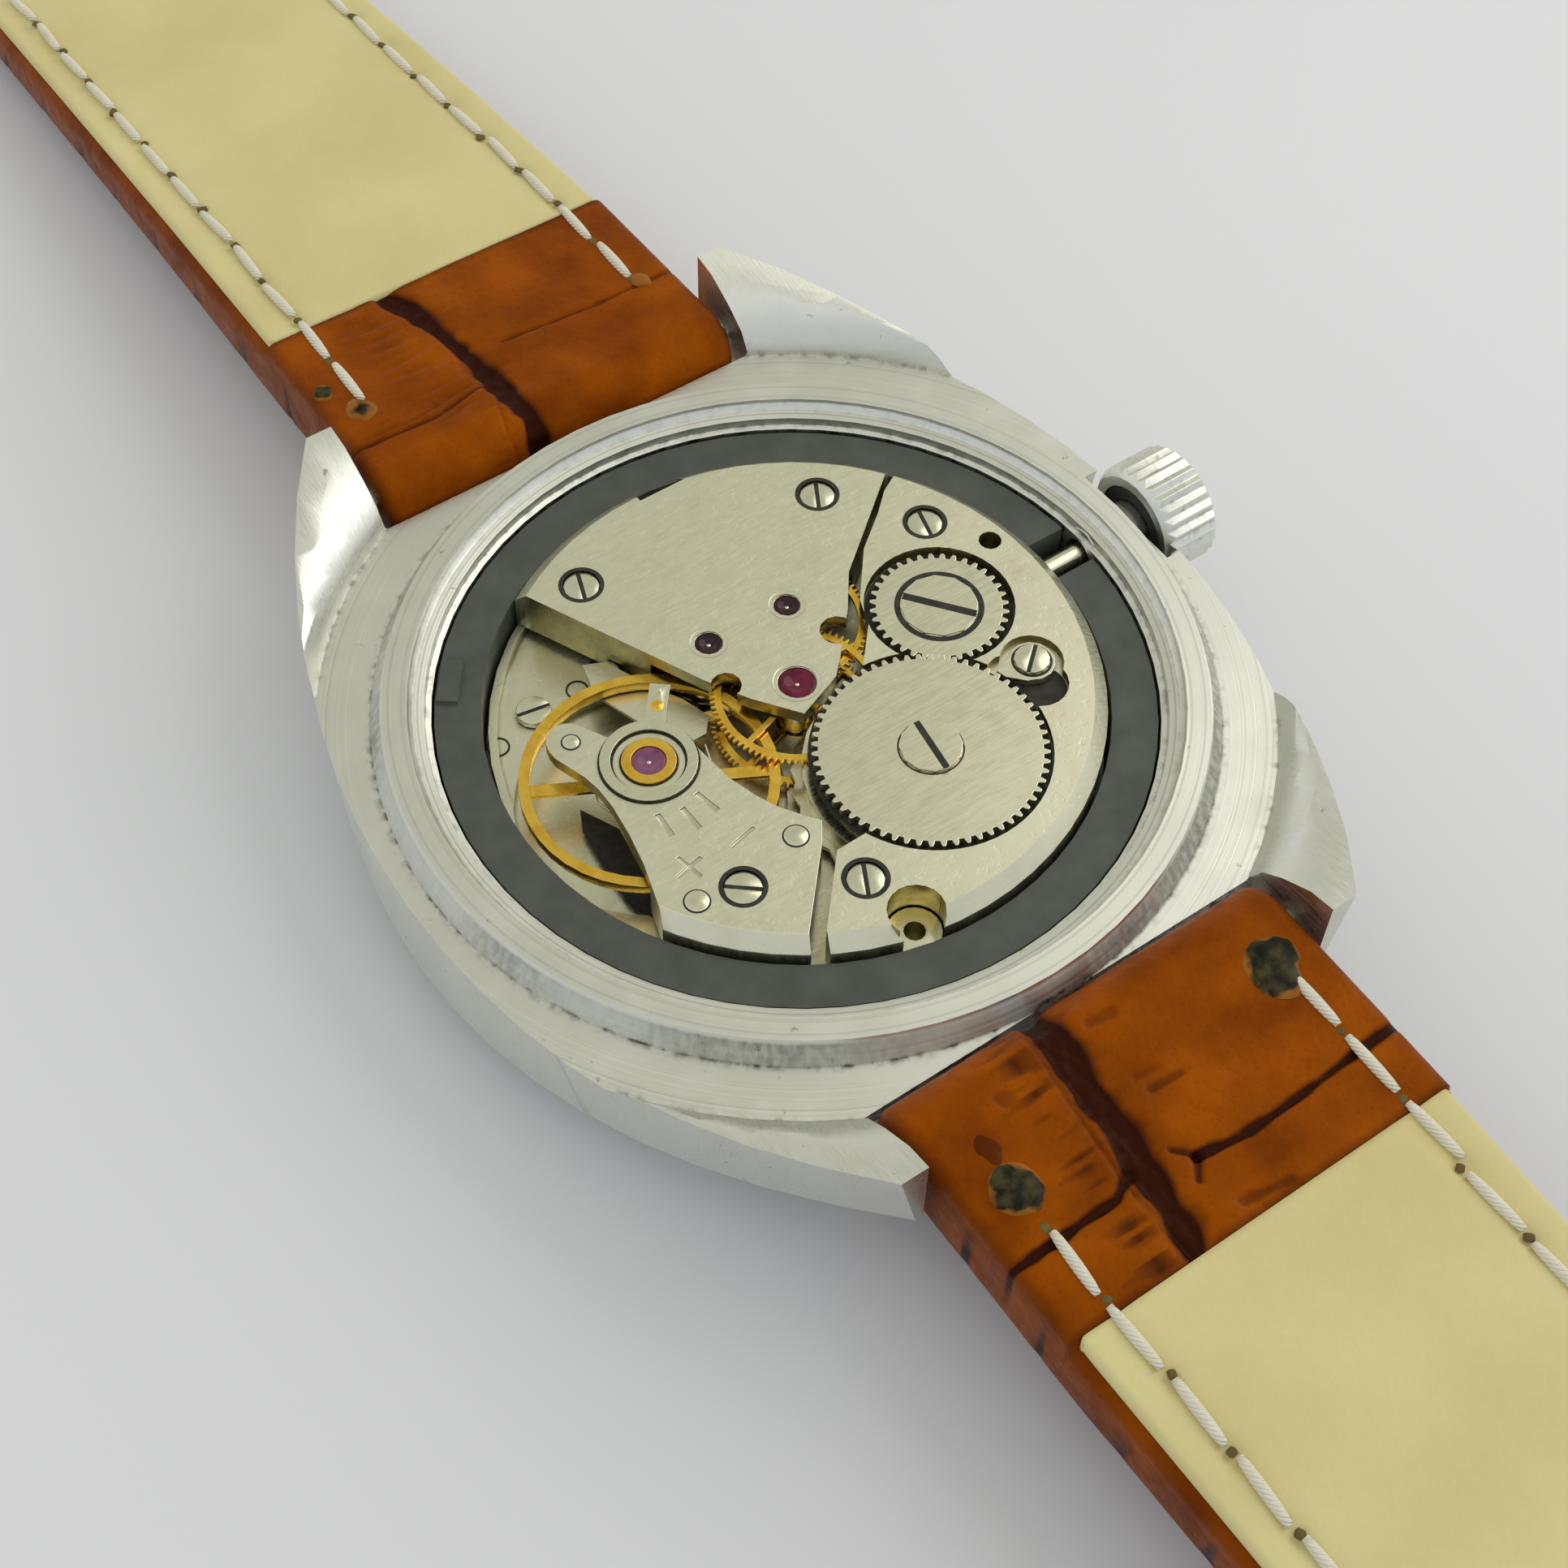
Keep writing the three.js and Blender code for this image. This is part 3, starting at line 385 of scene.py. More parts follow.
def grey_plastic():
    f = Finish("grey_plastic", (0.07, 0.08, 0.066), 0.0, 0.55)
    f.drive("Roughness", f.spread(f.noise(1.5, 4.0), 0.3, 0.7, 0.42, 0.62))
    f.bump(f.noise(7.0, 3.0), 0.006, 0.6)
    shade = f.spread(f.noise(0.7, 3.0), 0.35, 0.7)
    f.drive("Base Color", f.mix(shade, (0.058, 0.067, 0.054), (0.08, 0.09, 0.072)))
    return f.material


def crystal_glass():
    f = Finish("crystal", (0.96, 0.98, 0.98), 0.0, 0.02)
    f.set("Transmission Weight", 1.0)
    f.set("IOR", 1.49)
    hairlines = f.noise(1.0, 2.0, f.stretched((0.6, 22, 1), 0.9))
    f.drive("Roughness", f.spread(hairlines, 0.55, 0.8, 0.01, 0.12))
    f.bump(hairlines, 0.001, 0.3)
    return f.material


def dial_paint():
    f = Finish("dial_white", (0.78, 0.76, 0.68), 0.0, 0.45)
    f.bump(f.noise(8.0, 3.0), 0.003, 0.6)
    f.drive("Roughness", f.spread(f.noise(2.0, 3.0), 0.3, 0.7, 0.35, 0.55))
    f.drive("Base Color", f.mix(f.spread(f.noise(0.3, 3.0), 0.4, 0.7), (0.78, 0.76, 0.68), (0.72, 0.69, 0.6)))
    return f.material


def black_rubber():
    f = Finish("rubber", (0.02, 0.02, 0.02), 0.0, 0.7)
    f.bump(f.noise(9.0, 3.0), 0.01, 0.6)
    f.drive("Roughness", f.spread(f.noise(3.0, 3.0), 0.3, 0.7, 0.55, 0.8))
    return f.material


def tan_leather():
    """Embossed calf, with painted shade in its creases and grooves, and darker along its cut edges."""
    f = Finish("tan_leather", (0.33, 0.11, 0.014), 0.0, 0.42)
    crease = f.attribute("crease")
    shade = f.spread(f.noise(0.35, 4.0), 0.3, 0.7)
    base = f.mix(shade, (0.34, 0.074, 0.0005), (0.18, 0.034, 0.0003))
    grain = f.cells(3.2)
    base = f.mix(f.spread(grain, 0.0, 0.35, 0.3, 0.0), base, (0.12, 0.025, 0.001))
    # painted shade in creases and grooves, with the darker marks, from the point value
    dark = f.mix(f.spread(crease, 0.12, 0.75), base, (0.03, 0.005, 0.003))
    f.drive("Base Color", f.mix(f.attribute("burn"), dark, (0.012, 0.012, 0.008)))
    f.drive("Roughness", f.spread(f.noise(1.4, 4.0), 0.3, 0.7, 0.3, 0.5))
    f.bump(grain, 0.04, 0.45)
    f.bump(f.noise(6.0, 4.0), 0.03, 0.5)
    f.set("Specular IOR Level", 0.1)
    f.set("Specular Tint", (1.0, 0.6, 0.25, 1))
    return f.material


def cream_lining():
    f = Finish("cream_lining", (0.66, 0.57, 0.30), 0.0, 0.62)
    shade = f.spread(f.noise(0.12, 4.0), 0.3, 0.7)
    f.drive("Base Color", f.mix(shade, (0.72, 0.635, 0.3), (0.65, 0.555, 0.24)))
    f.bump(f.noise(0.8, 4.0), 0.1, 0.4)
    f.bump(f.cells(4.5), 0.02, 0.4)
    f.drive("Roughness", f.spread(f.noise(2.0, 3.0), 0.3, 0.7, 0.5, 0.7))
    return f.material


def white_thread():
    f = Finish("white_thread", (0.84, 0.8, 0.66), 0.0, 0.75)
    twist = f.add("ShaderNodeTexWave", wave_type="BANDS", bands_direction="DIAGONAL")
    twist.inputs["Scale"].default_value = 2.6
    f.link(f.mm, twist.inputs["Vector"])
    f.bump(twist.outputs[1], 0.06, 0.8)
    f.drive("Base Color", f.mix(f.noise(0.8, 2.0), (0.88, 0.84, 0.72), (0.74, 0.68, 0.5)))
    return f.material


def melted_thread():
    """Amber where the thread only melted, sooty where it burnt."""
    f = Finish("melted_thread", (0.3, 0.12, 0.02), 0.0, 0.3)
    amber = f.mix(f.noise(1.4, 3.0), (0.4, 0.15, 0.02), (0.22, 0.07, 0.008))
    soot = f.mix(f.spread(f.noise(1.6, 4.0), 0.4, 0.65), (0.01, 0.009, 0.004), (0.06, 0.05, 0.018))
    edge = f.math("ADD", f.attribute("burn"), f.spread(f.noise(1.5, 3.0), 0.3, 0.7, -0.2, 0.25))
    f.drive("Base Color", f.mix(f.spread(edge, 0.25, 0.5), amber, soot))
    f.drive("Roughness", f.spread(f.noise(2.0, 3.0), 0.3, 0.7, 0.25, 0.55))
    f.bump(f.noise(3.0, 4.0), 0.08, 0.6)
    f.set("Specular IOR Level", 0.12)
    return f.material


# dark brown painted shade for the needle holes
def needle_hole():
    f = Finish("needle_hole", (0.05, 0.025, 0.01), 0.0, 0.9)
    f.drive("Base Color", f.mix(f.noise(3.0), (0.2, 0.13, 0.03), (0.06, 0.045, 0.02)))
    return f.material


def floor_paper():
    f = Finish("floor_paper", (0.8, 0.8, 0.82), 0.0, 0.55)
    shade = f.spread(f.noise(0.01, 2.0), 0.3, 0.7)
    f.drive("Base Color", f.mix(shade, (0.8, 0.8, 0.82), (0.76, 0.765, 0.79)))
    return f.material


FINISHES = {
    "case_steel": case_steel(),
    "crystal": crystal_glass(),
    "grey_plastic": grey_plastic(),
    "dial_white": dial_paint(),
    "nickel": nickel(),
    "bright_steel": bright_steel(),
    "gilt": gilt(),
    "ruby": stone("ruby", (0.2, 0.008, 0.04), (0.06, 0.003, 0.014)),
    "tan_leather": tan_leather(),
    "cream_lining": cream_lining(),
    "rubber": black_rubber(),
}
THREAD = white_thread()
HOLE = needle_hole()
BURNT = melted_thread()
BRASS = brass()
SHADE_BLACK = painted_shade_black()
DARK_STONE = stone("dark_stone", (0.04, 0.006, 0.012), (0.012, 0.003, 0.006))
PALE_STONE = stone("pale_stone", (0.26, 0.09, 0.17), (0.14, 0.04, 0.09))


# ---- making meshes ----
def mesh_object(name, points, faces, material, body, smooth=True):
    """A piece of the visual model, which rides its body."""
    mesh = bpy.data.meshes.new(name)
    mesh.from_pydata([tuple(p) for p in points], [], faces)
    mesh.materials.append(material)
    mesh.validate()
    made = bpy.data.objects.new(name, mesh)
    bpy.context.scene.collection.objects.link(made)
    if smooth:
        mesh.shade_smooth()
    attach(made, body)
    return made


def smooth_noise(x, y, scale, seed):
    """Value noise from 0 to 1 over arrays of coordinates."""
    rng = np.random.default_rng(seed)
    lattice = rng.random((NOISE_CELLS, NOISE_CELLS))
    u, v = np.asarray(x) / scale, np.asarray(y) / scale
    i, j = np.floor(u).astype(int), np.floor(v).astype(int)
    s, t = u - i, v - j
    s, t = s * s * (3 - 2 * s), t * t * (3 - 2 * t)
    left, right = i % NOISE_CELLS, (i + 1) % NOISE_CELLS
    low, high = j % NOISE_CELLS, (j + 1) % NOISE_CELLS
    near = lattice[left, low] * (1 - s) + lattice[right, low] * s
    far = lattice[left, high] * (1 - s) + lattice[right, high] * s
    return near * (1 - t) + far * t


def outline_solid(name, loops, z0, z1, bevel, material, body, move):
    """A flat piece from closed outlines in mm, the first the outside and the rest its holes."""
    curve = bpy.data.curves.new(name, "CURVE")
    curve.dimensions = "2D"
    curve.fill_mode = "BOTH"
    for loop in loops:
        spline = curve.splines.new("POLY")
        spline.points.add(len(loop) - 1)
        for point, (x, y) in zip(spline.points, loop):
            point.co = ((x + move[0]) * MM, (y + move[1]) * MM, 0, 1)
        spline.use_cyclic_u = True
    curve.extrude = ((z1 - z0) / 2 - bevel) * MM
    curve.bevel_depth = bevel * MM
    curve.bevel_resolution = 1
    curve.offset = -bevel * MM
    shaped = bpy.data.objects.new(name + "_curve", curve)
    bpy.context.scene.collection.objects.link(shaped)
    bpy.context.view_layer.update()
    mesh = bpy.data.meshes.new_from_object(shaped.evaluated_get(bpy.context.evaluated_depsgraph_get()))
    bpy.data.objects.remove(shaped)
    points = np.array([v.co for v in mesh.vertices])
    points[:, 2] += (z0 + z1) / 2 * MM
    faces = [tuple(p.vertices) for p in mesh.polygons]
    return mesh_object(name, points, faces, material, body, smooth=False)


def lathe(name, profile, at, material, body, turn=360):
    """A skin turned about a vertical axis from a line of (radius, z), over a number of degrees."""
    full = turn == 360
    points = []
    for angle in np.radians(np.linspace(0, turn, TURN_STEPS, endpoint=not full)):
        c, s = math.cos(angle), math.sin(angle)
        points += [((at[0] + r * c) * MM, (at[1] + r * s) * MM, z * MM) for r, z in profile]
    count = len(profile)
    faces = []
    for i in range(TURN_STEPS if full else TURN_STEPS - 1):
        for j in range(count - 1):
            a, b = i * count + j, (i + 1) % TURN_STEPS * count + j
            faces.append((a, b, b + 1, a + 1))
    made = mesh_object(name, points, faces, material, body)
    made.data.set_sharp_from_angle(angle=math.radians(35))
    return made


def circle(r):
    return [(r * math.cos(a), r * math.sin(a)) for a in np.linspace(0, 2 * math.pi, 48, endpoint=False)]


def gear(teeth, root, tip, phase=0.0):
    """A gear outline with flat-topped teeth, one of them at the angle phase."""
    pitch = 2 * math.pi / teeth
    middle = (root + tip) / 2
    tooth = ((-0.3, root), (-0.24, middle), (-0.13, tip), (0.13, tip), (0.24, middle), (0.3, root))
    points = []
    for i in range(teeth):
        for share, r in tooth:
            angle = phase + (i + share) * pitch
            points.append((r * math.cos(angle), r * math.sin(angle)))
    return points


def arc(r, start, end, steps):
    return [(r * math.cos(a), r * math.sin(a)) for a in np.linspace(start, end, steps)]


def spoke_windows(count, inner, outer, width, phase):
    """The openings between a wheel's spokes, which keep their width from hub to rim."""
    holes = []
    trim_in, trim_out = math.asin(width / 2 / inner), math.asin(width / 2 / outer)
    for i in range(count):
        start = phase + i * 2 * math.pi / count
        end = start + 2 * math.pi / count
        rim = arc(outer, start + trim_out, end - trim_out, 16)
        holes.append(rim + arc(inner, end - trim_in, start + trim_in, 8))
    return holes


def body_of_node(node):
    return nodes_of_part[node]["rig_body"]


# ---- strap ----
BAR_Y = 19.6
BAR_Z = 6.1
ROLL = 2.0  # radius of the leather's roll round the spring bar
LINING_START = 29.0
LINING = 0.7  # thickness
STRAP_HALF_WIDTH = 9.0
EDGE = 0.55  # radius of the leather's edges
ROW_AT = 7.0  # the two rows of stitches, either side of the middle
STITCH_PITCH = 3.3
TAIL_HOLES = (76, 82, 88, 94, 100, 106, 112)
TAIL_HOLE_RADIUS = 0.9
TONGUE_SLOT = (2.6, 5.0)  # across and along the strap
TONGUE_SLOT_Y = -88.7
CUTTER_Z = 4
CUTTER_HEIGHT = 20
SCALE_PITCH = 4.6
GROOVE = 0.24  # half-width of the grooves between scales
FAR = 1e9


class Half:
    """One half of the strap, from its spring bar to its end.

    toward is 1 for the half on the 6 o'clock side and -1 for the one on the 12 o'clock side.
    """

    def __init__(self, name, toward, end, high, low, strokes, stitch_start, seed):
        self.name, self.toward, self.end = name, toward, end
        self.high, self.low, self.strokes = high, low, strokes
        self.stitch_start, self.seed = stitch_start, seed
        self.body = body_of_node(name)

    def top(self, y):
        return np.interp(y, *zip(*self.high))

    def bottom(self, y):
        return np.interp(y, *zip(*self.low))

    def half_width(self, y):
        y = np.asarray(y, float)
        tapered = STRAP_HALF_WIDTH - np.clip((y - 30) / 50, 0, 1)
        tip = np.clip((self.end - y) / 9, 0, 1) if self.name == "strap_tail" else 1.0
        return tapered * np.sqrt(np.maximum(0.06, 1 - (1 - tip) ** 2))


# Each stroke of the emboss is (points in x and distance along the leather, half-width, depth in mm).
TAIL_STROKES = (
    (((-3.2, 29.5), (-2.3, 27.5), (-1.7, 23.0), (-1.4, 18.3), (-1.3, 9.0)), 0.5, 0.34),
    (((0.0, 23.2), (4.5, 22.8), (9.2, 22.8)), 0.1, 0.12),
    (((-2.2, 21.3), (-5.0, 20.7), (-9.2, 20.9)), 0.1, 0.14),
    (((-2.6, 21.6), (-5.5, 21.1), (-8.0, 21.2)), 0.07, 0.08),
    (((-2.1, 20.2), (-2.6, 18.5), (-2.6, 15.5)), 0.09, 0.08),
    (((-3.2, 24.8), (-5.6, 24.4)), 0.08, 0.05),
    (((-3.0, 23.6), (-4.6, 23.2)), 0.07, 0.05),
)
BUCKLE_STROKES = (
    (((-3.3, 29.5), (-2.9, 27.5), (-2.3, 23.0), (-1.9, 18.6), (-1.8, 9.0)), 0.58, 0.36),
    (((-3.6, 26.0), (-3.3, 22.5), (-2.8, 18.5)), 0.1, 0.1),
    (((-0.7, 26.0), (1.0, 26.3), (3.0, 26.3), (9.2, 26.0)), 0.18, 0.2),
    (((-0.7, 26.0), (-1.4, 25.3)), 0.14, 0.16),
    (((-0.7, 26.0), (-1.3, 26.8)), 0.14, 0.16),
    (((-3.2, 25.2), (-4.2, 25.7), (-9.2, 25.8)), 0.2, 0.22),
    (((-3.6, 25.9), (-3.3, 28.9)), 0.1, 0.08),
    (((-0.6, 19.6), (0.4, 19.7)), 0.2, 0.1),
    (((-0.6, 22.3), (0.3, 22.4)), 0.14, 0.08),
    (((-0.4, 23.0), (0.9, 23.1)), 0.2, 0.12),
    (((-0.5, 28.3), (1.4, 28.6)), 0.24, 0.12),
    (((-5.2, 20.3), (-5.2, 20.31)), 0.4, 0.1),
)
HALVES = (
    Half("strap_tail", 1, 133.0,
         ((19, 8.1), (30, 7.7), (40, 6.9), (52, 5.7), (66, 4.2), (80, 3.1), (96, 2.5), (134, 2.3)),
         ((19, 4.1), (30, 3.9), (40, 3.5), (52, 2.6), (66, 1.3), (80, 0.4), (92, 0.0), (134, 0.0)),
         TAIL_STROKES, (23.2, 23.2), 3),
    Half("strap_buckle_half", -1, 90.0,
         ((19, 8.1), (30, 7.8), (45, 7.5), (60, 7.2), (72, 7.0), (91, 7.0)),
         ((19, 4.1), (30, 3.95), (45, 4.1), (60, 4.4), (72, 4.6), (91, 4.6)),
         BUCKLE_STROKES, (25.2, 21.9), 8),
)


def stroke_depth(x, t, points, width, depth, seed):
    """Depth and share of a groove that runs along a line of points and wanders a little."""
    wander = (smooth_noise(t * 1.0 + 40, x + 40, 1.1, seed) - 0.5) * width * 0.9
    distance = np.full(np.shape(x), FAR)
    for (x0, t0), (x1, t1) in zip(points, points[1:]):
        along = ((x - x0) * (x1 - x0) + (t - t0) * (t1 - t0)) / ((x1 - x0) ** 2 + (t1 - t0) ** 2)
        along = np.clip(along, 0, 1)
        distance = np.minimum(distance, np.hypot(x - x0 - along * (x1 - x0), t - t0 - along * (t1 - t0)))
    ragged = width * (0.85 + 0.4 * smooth_noise(t + 20, x + 20, 0.5, seed + 1))
    share = 1 / (1 + (np.abs(distance + wander) / ragged) ** 6)
    return depth * share, share


def fold_relief(half, x, t):
    """Height change and painted groove shade of the leather folded over the lining side, for t below
    LINING_START.
    """
    height = -0.05 * smooth_noise(x + 30, t + 30, 2.2, half.seed)
    dark = np.zeros(np.shape(x))
    for i, (points, width, depth) in enumerate(half.strokes):
        sunk, share = stroke_depth(x, t, points, width, depth, half.seed + i)
        height -= sunk
        # painted shade in the grooves, the deeper ones darker
        dark = np.maximum(dark, share * min(1.0, 5.0 * depth - 0.15))
    # small wrinkles run out from the main groove
    main = np.interp(t, [9, 29.5], [half.strokes[0][0][-1][0], half.strokes[0][0][0][0]])
    near = np.exp(-np.abs(x - main + 1.4) / 1.1) + 0.45 * np.exp(-np.abs(x - main - 1.0) / 0.8)
    wrinkle = smooth_noise(t + 50, x * 0.12 + 50, 0.24, half.seed + 20)
    height -= 0.09 * near * np.clip((wrinkle - 0.45) * 3, 0, 1)
    # painted shade along the small wrinkles, stronger on the buckle half
    stain = 0.25 if half.toward > 0 else 0.65
    dark = np.maximum(dark, stain * near * np.clip((wrinkle - 0.45) * 3, 0, 1))
    # lumps in the bottom of the main groove
    inside = stroke_depth(x, t, *half.strokes[0], half.seed)[1]
    height += 0.12 * inside * smooth_noise(t * 0.6 + 9, x + 9, 0.3, half.seed + 30)
    return height, dark


def scale_relief(half, x, y):
    """Height change and darkness of the crocodile scales on the strap's outer side."""
    row = y / SCALE_PITCH + 0.25 * (smooth_noise(x + 50, y + 50, 5.0, half.seed + 40) - 0.5)
    across = np.abs(row - np.round(row)) * SCALE_PITCH
    split = np.where(np.floor(row + 0.5) % 2 > 0, 2.7, -1.9)
    bend = 0.8 * (smooth_noise(y + 70, x + 70, 2.5, half.seed + 41) - 0.5)
    lengthwise = np.minimum(np.abs(x - split + bend), np.abs(np.abs(x + 0.3 * bend) - 6.2))
    share = np.maximum(1 / (1 + (across / GROOVE) ** 4), 1 / (1 + (lengthwise / GROOVE) ** 4))
    dome = 0.1 * (smooth_noise(x + 80, y + 80, 2.0, half.seed + 42) - 0.5)
    return dome - 0.26 * share, share


def side_wall(rows, columns, column, mirror):
    """Closes a side of a strip: point i of the loop faces point mirror - i across its thickness."""
    faces, seen = [], set()
    for i in range(rows):
        a, b = i, (i + 1) % rows
        ring = list(dict.fromkeys((a, b, (mirror - b) % rows, (mirror - a) % rows)))
        if len(ring) > 2 and frozenset(ring) not in seen:
            seen.add(frozenset(ring))
            faces.append(tuple(k * columns + column for k in (ring if column else reversed(ring))))
    return faces


def strip_faces(rows, columns, mirror):
    """The faces of a closed strip of rows round the loop and columns across, with its two side walls."""
    faces = []
    for i in range(rows):
        for j in range(columns - 1):
            a, b = i * columns + j, ((i + 1) % rows) * columns + j
            faces.append((a, b, b + 1, a + 1))
    for column in (0, columns - 1):
        faces += side_wall(rows, columns, column, mirror)
    return faces


def laid_out(half, points, faces):
    """Points in metres on the half's own side of the case, with faces that still look outward."""
    points = np.array(points).reshape(-1, 3) * MM
    if half.toward < 0:
        points[:, 1] *= -1
        faces = [tuple(reversed(face)) for face in faces]
    return points, faces


def across_stations(count, corner_steps=5):
    """Stations across a strip as (share of the flat width, angle round the edge's rounding)."""
    corner = [(-1, -a) for a in np.linspace(math.pi / 2, 0.001, corner_steps, endpoint=False)]
    flat = [(u, 0.0) for u in np.linspace(-1, 1, count)]
    return corner + flat + [(1, -a) for _, a in reversed(corner)]


def strip_mesh(loop, widths, stations, edge, relief, upright=None):
    """A strip whose closed loop in (y, z) is carried across X, with rounded edges and flat side walls.

    relief(x) gives the height change along the loop's outward normal for every loop point. Points marked
    upright take a normal straight up.
    """
    loop = np.array(loop, float)
    ahead, behind = np.roll(loop, -1, axis=0), np.roll(loop, 1, axis=0)
    tangent = ahead - behind
    tangent /= np.linalg.norm(tangent, axis=1)[:, None] + 1e-12
    normal = np.stack([tangent[:, 1], -tangent[:, 0]], axis=1)
    if upright is not None:
        normal[upright] = (0, 1)
    columns = []
    for share, angle in stations:
        x = share * (widths - edge) + edge * np.sin(angle)
        inset = edge * (1 - np.cos(angle))
        lift = relief(x) * np.cos(angle)
        place = loop + normal * (lift - inset)[:, None]
        columns.append(np.stack([x, place[:, 0], place[:, 1]], axis=1))
    return np.stack(columns, axis=1)


def leather_loop(half):
    """The leather's outline: outer side, end, lining side and roll, each point with its kind and distance."""
    fold = list(np.arange(BAR_Y, LINING_START, 0.1)) + [LINING_START]
    end = half.end
    nose = 0.5 if half.name == "strap_tail" else 1.1
    long = list(np.arange(LINING_START + 0.12, end - nose - 0.1, 0.4))
    points = [(y, float(half.bottom(y)), "scales", y) for y in fold + long]
    low, high = float(half.bottom(end)), float(half.top(end)) - LINING
    middle, reach = (low + high) / 2, (high - low) / 2
    for angle in np.linspace(-80, 80, 9):
        a = math.radians(angle)
        points.append((end - nose + nose * math.cos(a), middle + reach * math.sin(a), "end", end))
    for y in reversed(long):
        points.append((y, float(half.top(y)) - LINING, "hidden", y))
    for y in reversed(fold):
        points.append((y, float(half.top(y)), "fold", y))
    for angle in np.linspace(94, 266, 44):
        a = math.radians(angle)
        rolled = BAR_Y - ROLL * (a - math.pi / 2)
        points.append((BAR_Y + ROLL * math.cos(a), BAR_Z + ROLL * math.sin(a), "fold", rolled))
    return points


def punched(made, half):
    """Cuts the tail's holes or the buckle half's tongue slot right through a piece."""
    shapes = bmesh.new()
    if half.name == "strap_tail":
        radius = TAIL_HOLE_RADIUS * MM
        for y in TAIL_HOLES:
            bmesh.ops.create_cone(
                shapes, cap_ends=True, segments=32, radius1=radius, radius2=radius,
                depth=CUTTER_HEIGHT * MM, matrix=Matrix.Translation((0, y * MM, CUTTER_Z * MM)),
            )
    else:
        size = Matrix.Diagonal((TONGUE_SLOT[0] * MM, TONGUE_SLOT[1] * MM, CUTTER_HEIGHT * MM, 1))
        place = Matrix.Translation((0, TONGUE_SLOT_Y * MM, CUTTER_Z * MM))
        bmesh.ops.create_cube(shapes, size=1, matrix=place @ size)
    cutter_mesh = bpy.data.meshes.new("cutter")
    shapes.to_mesh(cutter_mesh)
    shapes.free()
    cutter = bpy.data.objects.new("cutter", cutter_mesh)
    bpy.context.scene.collection.objects.link(cutter)
    made.data.materials.append(FINISHES["tan_leather"])
    hole = made.modifiers.new("holes", "BOOLEAN")
    hole.operation = "DIFFERENCE"
    hole.solver = "EXACT"
    hole.object = cutter
    bpy.context.view_layer.update()
    made.data = bpy.data.meshes.new_from_object(made.evaluated_get(bpy.context.evaluated_depsgraph_get()))
    made.modifiers.clear()
    bpy.data.objects.remove(cutter)


def add_leather(half):
    """The leather of a half: one strip round both of its sides, with a value of painted shade and darker
    marks at every point.
    """
    loop = leather_loop(half)
    outline = [(y, z) for y, z, _, _ in loop]
    widths = half.half_width([y for y, _, _, _ in loop])
    kinds = np.array([kind for _, _, kind, _ in loop])
    along = np.array([t for _, _, _, t in loop])
    stations = across_stations(170)

    def relief(x):
        fold_height, _ = fold_relief(half, x, along)
        scale_height, _ = scale_relief(half, x, along)
        return np.where(kinds == "fold", fold_height, np.where(kinds == "scales", scale_height, 0.0))

    inner_side = (kinds == "fold") | (kinds == "hidden")
    step = inner_side & (np.abs(along - LINING_START) < 0.3)
    grid = strip_mesh(outline, widths, stations, EDGE, relief, step)
    x = grid[:, :, 0]
    t = np.repeat(along[:, None], len(stations), axis=1)
    on_fold, on_scales = (kinds == "fold")[:, None], (kinds == "scales")[:, None]
    fold_shade = fold_relief(half, x, t)[1]
    scale_dark = scale_relief(half, x, t)[1]
    dark = np.where(on_fold, fold_shade, np.where(on_scales, scale_dark, 0.1))
    edge_dark = 0.3 * np.clip((np.abs(x) - widths[:, None] + 0.75) / 0.6, 0, 1)
    # painted shade on the fold just before the lining's edge
    lining_step_shade = np.where(on_fold, 0.42 * np.clip((t - LINING_START + 0.45) / 0.4, 0, 1), 0)
    dark = np.maximum(dark, np.maximum(edge_dark, lining_step_shade))
    rows, columns = grid.shape[:2]
    tip = [i for i, kind in enumerate(kinds) if kind == "end"]
    points, faces = laid_out(half, grid, strip_faces(rows, columns, tip[0] + tip[-1]))
    leather = FINISHES["tan_leather"]
    made = mesh_object(half.name + "_leather", points, faces, leather, half.body)
    store(made, "crease", dark.reshape(-1))
    store(made, "burn", np.zeros(rows * columns))
    punched(made, half)
    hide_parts(half.name)


def store(made, name, values):
    layer = made.data.attributes.new(name, "FLOAT", "POINT")
    layer.data.foreach_set("value", np.asarray(values, np.float32))


def add_lining(half):
    """The cream lining: a thin skin with a pressed line and puckers along each row of stitches."""
    ys = np.concatenate([np.arange(LINING_START + 0.06, half.end - 0.5, 0.3), [half.end]])
    top = half.top(ys)
    low = top - LINING + 0.02
    outline = [(y, z) for y, z in zip(ys, low)] + [(y, z) for y, z in zip(ys[::-1], top[::-1])]
    widths = half.half_width(np.concatenate([ys, ys[::-1]])) - 0.35
    is_top = np.concatenate([np.zeros(len(ys)), np.ones(len(ys))])
    along = np.concatenate([ys, ys[::-1]])
    stations = across_stations(150, 4)
    edge_fade = np.clip((along - LINING_START) / 0.5, 0.15, 1)

    def relief(x):
        row = np.abs(np.abs(x) - ROW_AT)
        phase = (along - half.stitch_start[0]) / STITCH_PITCH
        hole = np.abs(phase - np.round(phase)) * STITCH_PITCH
        pressed = -0.1 * np.exp(-((row / 0.55) ** 2)) - 0.16 * np.exp(-(row**2 + hole**2) / 0.22)
        loose = 0.05 * (smooth_noise(x + 30, along + 30, 5.0, half.seed + 60) - 0.5)
        return is_top * (pressed + loose) * edge_fade

    grid = strip_mesh(outline, widths, stations, 0.25, relief)
    rows, columns = grid.shape[:2]
    points, faces = laid_out(half, grid, strip_faces(rows, columns, rows - 1))
    node = half.name.replace("_half", "") + "_lining"
    made = mesh_object(node + "_skin", points, faces, FINISHES["cream_lining"], half.body)
    punched(made, half)
    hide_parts(node)


